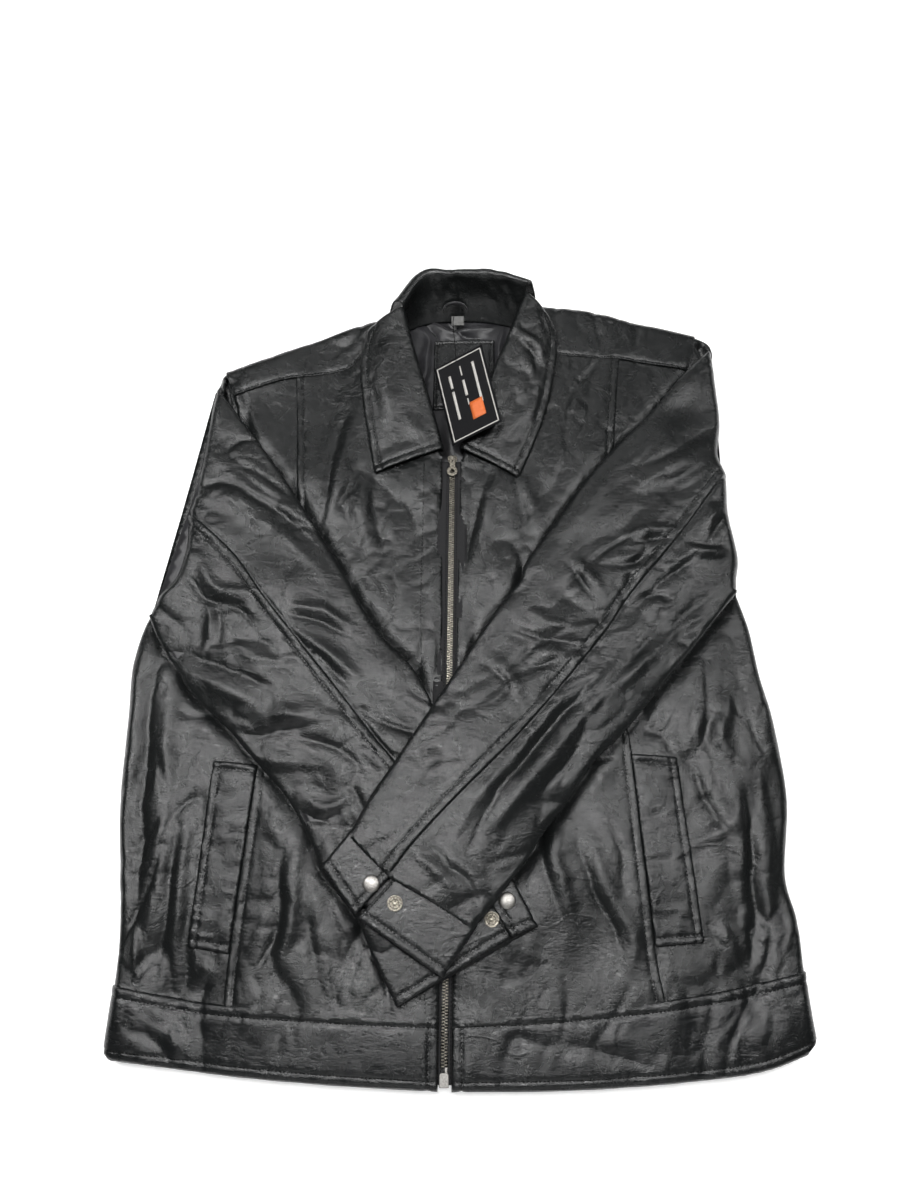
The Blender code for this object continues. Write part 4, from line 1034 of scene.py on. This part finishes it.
def sleeve(side, edges, fold, fold_run, seam, mouth, past_mouth, base, height, hinge, hinge_heights):
    """One flattened sleeve: top with rolled edges, underside, and lining.

    edges are the upper and lower edge. The top reaches past_mouth, under the cuff.
    """
    radius, fold_radius, inset, small = 5.3, 9.5, 2.6, 2.9
    reach = (math.pi - 1) * radius
    name = "sleeve_" + side
    first, second = edges if side == "left" else edges[::-1]
    rolls = [(fold, fold_radius, 1.0)] + [(edge, radius, lambda x, y: base(x) + 0.3) for edge in edges]
    panel = Panel(height, rolls, detail=lap_detail(seam))
    flat_fold = run_of(offset(fold, -1.35 * fold_radius), *fold_run)
    border = np.vstack([offset(first, -reach)[8:], mouth + past_mouth, offset(second, -reach)[:-8],
                        flat_fold])
    marks = [offset(seam, d) for d in (-9.5, -8.6, -7.6, -6.6, -4, -1.6, -0.5, 0.1, 1.0, 2.4)]
    made = panel.build(name + "_outer", border, "shell", None,
                       [name + "_top", name + "_upper_fold", name + "_lower_fold"], 2.6, marks)
    start, end = (Vector(to_frame([(*hinge, z)])[0]) for z in hinge_heights)
    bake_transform(made)
    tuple(start)
    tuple(end)
    panel.sew(offset(seam, -SEAM_ROW), name)
    border = np.vstack([offset(first, 3.0)[4:], mouth, offset(second, 3.0)[:-4]])
    under = Panel(lambda x, y: base(x) + 1.5 + 0.3 * np.clip(hide_relief(x, y, 131, 40), -5, 3))
    under.build(name + "_inner", border, "shell", name, [name + "_under"], 4.0)
    rolls = [(offset(edge, inset), small, lambda x, y: base(x) + 2.4) for edge in edges]
    out = -(math.pi - 1) * small
    border = np.vstack([offset(offset(first, inset), out)[10:], mouth,
                        offset(offset(second, inset), out)[:-12]])
    lining = Panel(lambda x, y: base(x) + 4.6 + 0.3 * rumple(x, y, 18, 91), rolls)
    made = lining.build(name + "_lining_cloth", border, "satin", name, [name + "_lining"], 6.0,
                        thickness=LINING)


# ---- cuffs and snaps ------------------------------------------------------------------
def turned_shape(name, profile, centre, look, body, nodes, count=40):
    """A solid of revolution about the vertical through centre, from (radius, height) pairs."""
    points, faces = [], []
    for radius, height in profile:
        for k in range(count):
            turn = 2 * math.pi * k / count
            points.append((centre[0] + radius * math.cos(turn), centre[1] + radius * math.sin(turn),
                           centre[2] + height))
    for row in range(len(profile) - 1):
        for k in range(count):
            j = (k + 1) % count
            a, b = row * count, (row + 1) * count
            faces.append((a + k, b + k, b + j, a + j))
    faces.append(tuple(range(count)))
    faces.append(tuple(range(len(points) - 1, len(points) - count - 1, -1)))
    add_mesh(name, points, faces, look, body, nodes=nodes)


CAP = [(0.3, -0.4), (6.2, -0.4), (6.9, 0.0), (7.1, 0.45), (6.9, 0.95), (6.2, 1.4), (5.0, 1.8), (3.4, 2.1),
       (1.8, 2.25), (0.3, 2.3)]
SOCKET = [(0.3, -0.3), (6.3, -0.3), (6.6, 0.1), (6.5, 0.6), (6.0, 0.9), (5.4, 0.9), (4.9, 0.5), (4.6, 0.45),
          (4.2, 0.9), (3.7, 1.1), (3.2, 0.9), (2.9, 0.2), (2.4, 0.0), (1.9, 0.2), (1.6, 0.75), (0.9, 0.95),
          (0.3, 0.95)]


def cuff(side, base, main, tab, cap, socket, full):
    """A snap cuff with its slit open: main part, tab with the cap, and the layer underneath.

    main runs slit top, far top, far hem, slit hem, and tab outer top, slit top, slit hem, outer hem.
    full is the height of the outer layer over the sleeve's underside.
    """
    name, flap = "sleeve_" + side, "cuff_flap_" + side
    radius, hem_rim = 3.6, 7.0
    out = (math.pi - 1) * radius
    turn = 1 if side == "left" else -1

    def height(x, y):
        return base(x) + full + 0.35 * rumple(x, y, 24, 95) + 0.12 * creases(x, y, 5, 96, 30)

    def low(x, y):
        return base(x) + 1.6

    def edge(a, b):
        """A path from a to b, turned so that the inside lies on its left."""
        return resample(np.array([a, b]), 4)[::turn]

    def outward(path):
        away = np.array([path[-1][1] - path[0][1], -(path[-1][0] - path[0][0])])
        return away / np.linalg.norm(away) * out
    m, t = line(*main), line(*tab)
    far = edge(m[2], m[1])
    rims = [(edge(m[3], m[2]), hem_rim, True), (edge(m[0], m[3]), 2.2, True), (edge(m[1], m[0]), 1.6, False)]
    panel = Panel(height, [(far, radius, low)], rims)
    border = np.vstack([m[0], m[1], m[1] + outward(far), m[2] + outward(far), m[2], m[3]])
    panel.build(f"cuff_{side}_leather", border, "trim", name, ["cuff_" + side], 2.2)
    place = panel.lift(line(socket))[0][0]
    turned_shape("snap_ring_" + side, SOCKET, place, "brass", name, ["snap_socket_" + side])
    far = edge(t[0], t[3])
    rims = [(edge(t[3], t[2]), hem_rim, True), (edge(t[2], t[1]), 6.0, True), (edge(t[1], t[0]), 1.6, False)]
    panel = Panel(lambda x, y: height(x, y) + 0.9, [(far, radius, low)], rims)
    border = np.vstack([t[0] + outward(far), t[0], t[1], t[2], t[3], t[3] + outward(far)])
    panel.build(f"cuff_tab_{side}_leather", border, "trim", flap, ["cuff_tab_" + side], 2.2)
    place = panel.lift(line(cap))[0][0]
    turned_shape("snap_dome_" + side, CAP, place, "nickel", flap, ["snap_cap_" + side])
    # the back half of the cuff, under the lining
    border = np.vstack([t[0] * 0.97 + m[1] * 0.03, m[1] * 0.97 + t[0] * 0.03, m[2] * 0.98 + t[3] * 0.02,
                        t[3] * 0.98 + m[2] * 0.02])
    Panel(lambda x, y: base(x) + 1.5).build(f"cuff_{side}_back", border, "trim", name, (), 4.0)


def sleeves():
    left_mouth = line((-79, 191), (-62, 174), (-42, 156), (-4, 136), (28, 116))
    right_mouth = line((-63, 94), (-30, 112), (10, 134), (29, 143), (53, 156))
    sleeve("left", (LEFT_UPPER, LEFT_LOWER), LEFT_FOLD, (412, 668), LEFT_SEAM, left_mouth, (-5.0, -7.0),
           left_base, left_sleeve_height, (270, 545), (12, 24.5))
    sleeve("right", (RIGHT_UPPER, RIGHT_LOWER), RIGHT_FOLD, (392, 622), RIGHT_SEAM, right_mouth, (4.0, -7.0),
           right_base, right_sleeve_height, (-263, 510), (10, 20.5))
    cuff("left", left_base, [(-39, 154), (28, 116), (-2, 72), (-72, 117)],
         [(-79, 190), (-41, 156), (-74, 119), (-104, 158)], (-62, 144), (-42, 129), 8.3)
    cuff("right", right_base, [(31, 143), (-63, 92), (-39, 49), (54, 104)],
         [(53, 156), (29, 143), (54, 104), (77, 113)], (51, 133), (38, 118), 7.4)


# ---- collar ---------------------------------------------------------------------------
def stretched(row, count):
    """The row of 3-D points with count points."""
    at, own = np.linspace(0, 1, count), np.linspace(0, 1, len(row))
    return np.stack([np.interp(at, own, row[:, i]) for i in range(3)], axis=1)


def loft(name, rails, look, body, nodes=(), thickness=0.0, step=2.0, crown=None):
    """A smooth sheet through rows of points; crown adds a height from the grid's own u, v."""
    rows = [spline(rail, step) for rail in rails]
    count = max(len(row) for row in rows)
    rows = np.array([stretched(row, count) for row in rows])
    columns = [spline(rows[:, k], step) for k in range(count)]
    depth = max(len(column) for column in columns)
    grid = np.array([stretched(column, depth) for column in columns])
    if crown:
        u, v = np.meshgrid(np.linspace(0, 1, count), np.linspace(0, 1, depth), indexing="ij")
        grid = grid + crown(u, v, grid)
    faces = [(i * depth + j, i * depth + j + 1, (i + 1) * depth + j + 1, (i + 1) * depth + j)
             for i in range(count - 1) for j in range(depth - 1)]
    return add_mesh(name, grid.reshape(-1, 3), faces, look, body, thickness, nodes)


COLLAR_FOLDS = [
    ([(60, 700), (76, 684), (88, 676), (92, 660)], 2.6, 5.0, 0.3),
    ([(62, 684), (78, 670), (84, 656), (82, 640)], -2.2, 4.0),
    ([(70, 660), (84, 640), (80, 610), (66, 590)], 1.8, 8.0),
    ([(58, 640), (64, 620), (60, 600)], -1.2, 7.0),
    ([(84, 720), (90, 690), (92, 670)], 1.4, 6.0),
    ([(-64, 690), (-72, 650), (-66, 610), (-58, 580)], 1.6, 12.0),
    ([(-48, 600), (-40, 585), (-28, 575)], 1.0, 7.0),
    ([(-86, 650), (-80, 620), (-74, 590)], -0.9, 8.0),
]


def leaf(side, roll, roll_z, edge, edge_z, top_edge, hem):
    """One collar leaf: padded rim, turned-under roll, resting outwards on the front."""
    def height(x, y):
        points = np.stack([x, y], axis=1)
        from_roll, _, _, run = nearest(points, roll)
        from_edge, _, _, low_run = nearest(points, edge)
        a, b = np.clip(from_roll, 0.01, None), np.clip(from_edge, 0.01, None)
        t = a / (a + b)
        high = np.interp(run, np.linspace(0, 1, len(roll_z)), roll_z)
        low = np.interp(low_run, np.linspace(0, 1, len(edge_z)), edge_z)
        z = high * (1 - t) + low * t + 3.2 * np.sin(np.pi * t) ** 0.8
        z = z + hide_relief(x, y, 101, 60, 0.6) + folds_at(x, y, COLLAR_FOLDS)
        return z + 0.12 * creases(x, y, 5, 103, 40, 1.5)
    radius = 4.2
    out = (math.pi - 1) * radius
    rolls = [(roll, radius, lambda x, y: height(x, y) - 13.0),
             (top_edge, radius, lambda x, y: height(x, y) - 15.0)]
    panel = Panel(height, rolls, [(path, RIM, "collar_" + side) for path in (edge, hem)])
    rest = [hem, edge, offset(top_edge, -out)]
    border = np.vstack([offset(roll, -out)] + (rest if side == "left" else rest[::-1]))
    made = panel.build(f"collar_{side}_leather", border, "shell", None, ["collar_leaf_" + side], 2.2,
                       thickness=1.8)
    middle = roll[len(roll) // 2]
    ahead = roll[len(roll) // 2 + 1] - middle
    inward = np.array([-ahead[1], ahead[0]]) / np.linalg.norm(ahead)
    z = np.mean(roll_z)
    start, end = (Vector(to_frame([(*(middle + inward * d), z)])[0]) for d in (-2.0, 13.0))
    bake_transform(made)
    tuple(start)
    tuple(end)


def collar():
    """Both leaves, and the back that joins them. The inside lies to the left of each leaf's paths."""
    roll = spline([(-8.6, 566), (-20, 606), (-31.5, 645), (-42.6, 683), (-52, 721)])
    edge = spline([(-90, 702), (-96.5, 660), (-91.5, 613), (-84, 570), (-77, 535)])
    top_edge = spline([(-52, 722), (-72, 713), (-90, 702)])
    hem = spline([(-77, 535), (-42, 549), (-6, 564)])
    leaf("right", roll, [24, 29, 34, 38, 42], edge, [29, 26.5, 24, 22.5, 22], top_edge, hem)
    roll = spline([(73, 742), (57, 695.5), (40, 652), (23, 608.5), (6, 565)])
    edge = spline([(66, 533), (80, 566), (95, 609), (104, 655), (107, 690), (101, 716)])
    top_edge = spline([(101, 716), (86, 731), (73, 742)])
    hem = spline([(4, 566), (34, 550), (66, 533)])
    leaf("left", roll, [44, 38.5, 34, 29, 24], edge, [22, 23.5, 25.5, 28, 30, 31.5], top_edge, hem)
    # the back: lining side of the stand, the fold along its top, and the fall behind it
    rails = [[(-51, 714, 3.4), (-30, 723, 3.4), (2, 727, 3.4), (36, 726, 3.4), (68, 719, 3.4)],
             [(-54, 718, 12), (-31, 731, 12), (2, 736, 12), (38, 735, 12), (72, 726, 12)],
             [(-55, 720, 27), (-32, 742, 27), (1, 747, 27), (38, 746, 27), (75, 735, 27)],
             [(-54, 719, 40), (-31, 752, 43), (1, 754, 45.5), (38, 753, 45.5), (75, 743, 43)],
             [(-56, 722, 43), (-32, 757, 46.5), (0, 757.5, 48.5), (38, 757, 48.5), (77, 746, 46.5)],
             [(-62, 724, 40), (-35, 760, 42), (0, 761, 44), (38, 760.5, 44), (80, 748, 42)],
             [(-66, 723, 28), (-38, 761, 27), (0, 763, 28), (38, 762, 28), (84, 748, 28)],
             [(-68, 722, 18), (-38, 759, 9), (0, 761, 7), (38, 760, 8), (86, 747, 18)]]

    def crown(u, v, grid):
        """Soft ruffles, and the ridge of the seam in the middle."""
        push = np.zeros_like(grid)
        seam = np.exp(-((u - 0.49) / 0.012) ** 2) * (v < 0.55)
        across = grid[..., 0] + 0.25 * grid[..., 2]
        up = grid[..., 2]
        soft = 2.2 * rumple(across, up * 0.5, 17, 111) + 1.2 * rumple(across, up * 0.8, 8, 112)
        soft = soft * np.sin(np.pi * np.clip(v * 1.15, 0, 1)) ** 0.7
        push[..., 1] = -soft + 1.2 * seam
        return push
    loft("collar_back_leather", rails, "shell", "jacket_body", ["collar_back"], 1.6, crown=crown)


# ---- inside of the neck ---------------------------------------------------------------
def neck():
    """The patch, the hanger loop and the size label."""
    edges = edges_of(line((-21, 702), (-21, 618), (43, 618), (43, 704)))
    panel = Panel(lambda x, y: 5.4 + 0.5 * rumple(x, y, 20, 121) + 0.2 * creases(x, y, 6, 122),
                  rims=[(edge, 4.0, True) for edge in edges])
    panel.build("neck_patch_leather", np.vstack(edges), "trim", "jacket_body", ["neck_patch"], 2.4)
    bow = [(-12, 731, 20), (-9, 735.5, 22), (0, 736.5, 25), (9, 736, 23), (14, 732, 20)]
    rails = [[(x, y - 1.0, z - 2.4) for x, y, z in bow], [(x, y - 2.4, z) for x, y, z in bow],
             [(x, y - 1.2, z + 2.4) for x, y, z in bow]]
    loft("hanger_loop_strap", rails, "satin", "jacket_body", ["hanger_loop"], 0.9, step=1.2)
    rails = [[(-3, 726, 14.5), (10, 726.5, 14.5)], [(-3, 721, 13.2), (10, 721.5, 13.4)],
             [(-2.6, 716, 12.6), (10.4, 716.4, 12.8)]]
    loft("size_label_cloth", rails, "label", "jacket_body", ["size_label"], 0.3, step=1.0)


# ---- zip ------------------------------------------------------------------------------
def teeth(side, sign):
    """One row of single teeth: a shank on the tape and a waisted head at the middle."""
    pitch, length, start_y = 2.37, 544, 5.5
    # (distance from the middle, half length along the zip, low, high) of each cross-section
    shape = [(2.5, 0.62, 13.9, 15.5), (1.3, 0.62, 13.7, 15.8), (0.75, 0.38, 13.7, 15.8),
             (0.15, 0.60, 13.7, 15.9), (-0.35, 0.50, 13.9, 15.7)]
    points, faces = [], []
    for k in range(int(length / pitch)):
        y = start_y + pitch * (k + (0.5 if side == "left" else 0.0))
        start = len(points)
        for x, half, low, high in shape:
            points += [(sign * x, y - half, low), (sign * x, y + half, low),
                       (sign * x, y + half * 0.75, high), (sign * x, y - half * 0.75, high)]
        for a in range(start, start + 4 * (len(shape) - 1), 4):
            for i in range(4):
                j = (i + 1) % 4
                faces.append((a + i, a + j, a + j + 4, a + i + 4)[::sign])
        ends = [(start + 3, start + 2, start + 1, start), tuple(start + 16 + i for i in range(4))]
        faces += [end[::sign] for end in ends]
    add_mesh("teeth_" + side, points, faces, "brass", "jacket_body", nodes=["zip_teeth_" + side],
             smooth=False)


def tape(side, sign):
    """One tape, with the cord that its teeth are clamped on."""
    def run(x, low, high):
        return resample(line((x, low), (x, high)) * (sign, 1), 3)

    def height(x, y):
        return 15.0 + 0.55 * np.exp(-((np.abs(x) - 3.4) / 0.6) ** 2) - 0.02 * (np.abs(x) - 3)
    panel = Panel(height)
    border = np.vstack([run(3.0, -8, 552)[::sign], run(15, 552, -8)[::sign]])
    cord = run(3.6, -6, 550)
    panel.build("tape_" + side, border, "tape", "jacket_body", ["zip_tape_" + side], 3.2,
                [cord, cord + np.array([sign * 1.1, 0])], 0.6)
    panel.sew(run(5.0, -4, 548), "jacket_body")


def zip_parts():
    for side, sign in (("left", 1), ("right", -1)):
        teeth(side, sign)
        tape(side, sign)


def plate(name, outline, z, half, look, body, nodes=(), holes=(), edge=0.25):
    """A flat metal part: filled outline with rounded edges, z at its middle."""
    curve = bpy.data.curves.new(name, "CURVE")
    curve.dimensions = "2D"
    curve.fill_mode = "BOTH"
    curve.extrude = (half - edge) * 0.001
    curve.bevel_depth = edge * 0.001
    curve.bevel_resolution = 2
    for ring in (outline, *holes):
        row = curve.splines.new("POLY")
        row.points.add(len(ring) - 1)
        for target, point in zip(row.points, to_frame([(*p, 0.0) for p in ring])):
            target.co = (point[0], point[1], 0.0, 1.0)
        row.use_cyclic_u = True
    curve.materials.append(looks[look])
    holder = bpy.data.objects.new(name + "_outline", curve)
    bpy.context.scene.collection.objects.link(holder)
    bpy.context.view_layer.update()
    mesh = bpy.data.meshes.new_from_object(holder.evaluated_get(bpy.context.evaluated_depsgraph_get()))
    bpy.data.objects.remove(holder, do_unlink=True)
    mesh.transform(Matrix.Translation((0, 0, z * 0.001)))
    made = bpy.data.objects.new(name, mesh)
    bpy.context.scene.collection.objects.link(made)
    if nodes:
        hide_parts(*nodes)
    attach(made, body)
    return made


def ring_of(centre, radius, count=32):
    turns = np.linspace(0, 2 * math.pi, count, endpoint=False)
    return [(centre[0] + radius * math.cos(t), centre[1] + radius * math.sin(t)) for t in turns]


def zip_metal():
    """Slider, bail and drop pull at the top of the zip, box and pin at its foot."""
    y = 553
    body = [(-1.6, -4.4), (1.6, -4.4), (2.6, -3.6), (4.2, 0.5), (4.4, 2.4), (3.4, 4.2), (1.0, 4.5),
            (-1.0, 4.5), (-3.4, 4.2), (-4.4, 2.4), (-4.2, 0.5), (-2.6, -3.6)]
    outline = [tuple(p) for p in spline([(a, y + b) for a, b in body], 0.6, closed=True)]
    plate("slider_top", outline, 17.0, 0.55, "brass", "zip_slider", ["slider_body"])
    plate("slider_bottom", outline, 12.9, 0.5, "brass", "zip_slider")
    plate("slider_bridge", [(-1.1, y + 1.0), (1.1, y + 1.0), (1.1, y + 3.6), (-1.1, y + 3.6)], 14.9, 1.7,
          "brass", "zip_slider")
    arch = [(-2.4, 17.3), (-1.4, 19.4), (1.2, 20.6), (3.6, 20.0), (4.6, 17.4)]
    rails = [[(x, y + along, z) for along, z in arch] for x in (-0.9, 0.0, 0.9)]
    loft("slider_bail", rails, "brass", "zip_slider", (), 0.7, step=0.5)
    top, bottom = y + 3.6, y + 3 - 16.5
    neck_shape = [(-2.3, top), (2.3, top), (2.5, top - 3), (2.2, top - 7), (2.4, bottom + 5),
                  (-2.4, bottom + 5), (-2.2, top - 7), (-2.5, top - 3)]
    slot = [(-1.1, top - 1.2), (1.1, top - 1.2), (1.1, top - 6.6), (-1.1, top - 6.6)]
    plate("pull_neck", neck_shape, 19.0, 0.55, "brass", "zip_pull", ["pull_tab"], [slot])
    plate("pull_ring", ring_of((0, bottom), 4.9), 19.0, 0.75, "brass", "zip_pull", (),
          [ring_of((0, bottom), 2.6)], 0.4)
    plate("zip_box", [(-3.4, -9.4), (3.4, -9.4), (3.4, -0.8), (2.4, 0.4), (-2.4, 0.4), (-3.4, -0.8)],
          15.0, 1.9, "nickel", "jacket_body", ["zip_retainer_box"], (), 0.5)
    plate("zip_pin", [(0.8, 0.6), (2.4, 0.6), (2.4, 4.6), (0.8, 4.6)], 15.0, 1.3, "nickel", "jacket_body",
          ["zip_insertion_pin"], (), 0.3)


# ---- tag ------------------------------------------------------------------------------
TAG_CORNER, TAG_ACROSS, TAG_DOWN = np.array([-20.0, 650.0]), np.array([48.0, 18.0]), np.array([20.0, -88.0])


def on_tag(across, down, lift=0.0):
    """A point of the card's plane, with a slight natural curl."""
    x, y = TAG_CORNER + TAG_ACROSS * across + TAG_DOWN * down
    return (x, y, 28.9 + 18 * across + 4 * (down - 0.5) ** 2 + lift)


def card_piece(name, across, down, look, nodes=(), thickness=0.12, lift=0.12):
    """A patch that follows the card, over the shares of its width and its length."""
    rails = [[on_tag(a, d, lift) for a in across] for d in down]
    loft(name, rails, look, "tag", nodes, thickness, step=3.0)


def strip(name, a0, a1, d0, d1, look="print", **more):
    card_piece(name, (a0, (a0 + a1) / 2, a1), (d0, (d0 + d1) / 2, d1), look, **more)


def tag():
    """The hang tag: card, printed frame and bars, plain sticker, and the string to the neck."""
    thirds = (0, 0.33, 0.66, 1.0)
    card_piece("tag_board", thirds, thirds, "card", ["hang_tag"], 0.8, 0.0)
    wide, inset = 0.022, 0.045
    tall, deep = wide * 0.6, inset * 0.55
    frame_lines = [(inset, 1 - inset, deep, deep + tall), (inset, 1 - inset, 1 - deep - tall, 1 - deep),
                   (inset, inset + wide, deep, 1 - deep), (1 - inset - wide, 1 - inset, deep, 1 - deep)]
    for k, edges in enumerate(frame_lines):
        strip(f"tag_border_{k}", *edges)
    # the printed words are left out; plain bars keep their places
    bars = [(0.72, 0.77, 0.14, 0.66), (0.48, 0.505, 0.12, 0.24), (0.47, 0.52, 0.30, 0.50),
            (0.48, 0.505, 0.54, 0.62), (0.23, 0.28, 0.18, 0.34), (0.23, 0.28, 0.38, 0.74)]
    for k, edges in enumerate(bars):
        strip(f"tag_bar_{k}", *edges)
    strip("tag_label", 0.50, 0.76, 0.60, 0.82, "sticker", thickness=0.2, lift=0.25)
    route = [(0, 724, 20.5), (-1.0, 719, 20), (-1.4, 713, 21.5), (-1.0, 704, 25), (-0.2, 692, 29.5),
             (0.6, 680, 34), (1.4, 669, 37), (2.0, 660, 38.4), (2.6, 654, 38.8)]
    curve = bpy.data.curves.new("tag_cord", "CURVE")
    curve.dimensions = "3D"
    curve.bevel_depth = 0.0004
    curve.bevel_resolution = 2
    curve.use_fill_caps = True
    row = curve.splines.new("POLY")
    path = spline(route, 2.5)
    row.points.add(len(path) - 1)
    for target, point in zip(row.points, to_frame(path)):
        target.co = (*point, 1.0)
    curve.materials.append(looks["thread"])
    cord = bpy.data.objects.new("tag_cord", curve)
    bpy.context.scene.collection.objects.link(cord)
    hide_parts("tag_string")
    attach(cord, "jacket_body")
    length = float(length_of(path)) * 0.001
    tuple(to_frame([route[0]])[0])


# ---- the jacket, piece by piece --------------------------------------------------------
for make in (add_camera, add_floor, add_light, sleeves, centre_fronts, side_fronts, yokes, sleeve_heads,
             waistband, welts, back, linings, collar, neck, zip_parts, zip_metal, tag, sew_all):
    make()
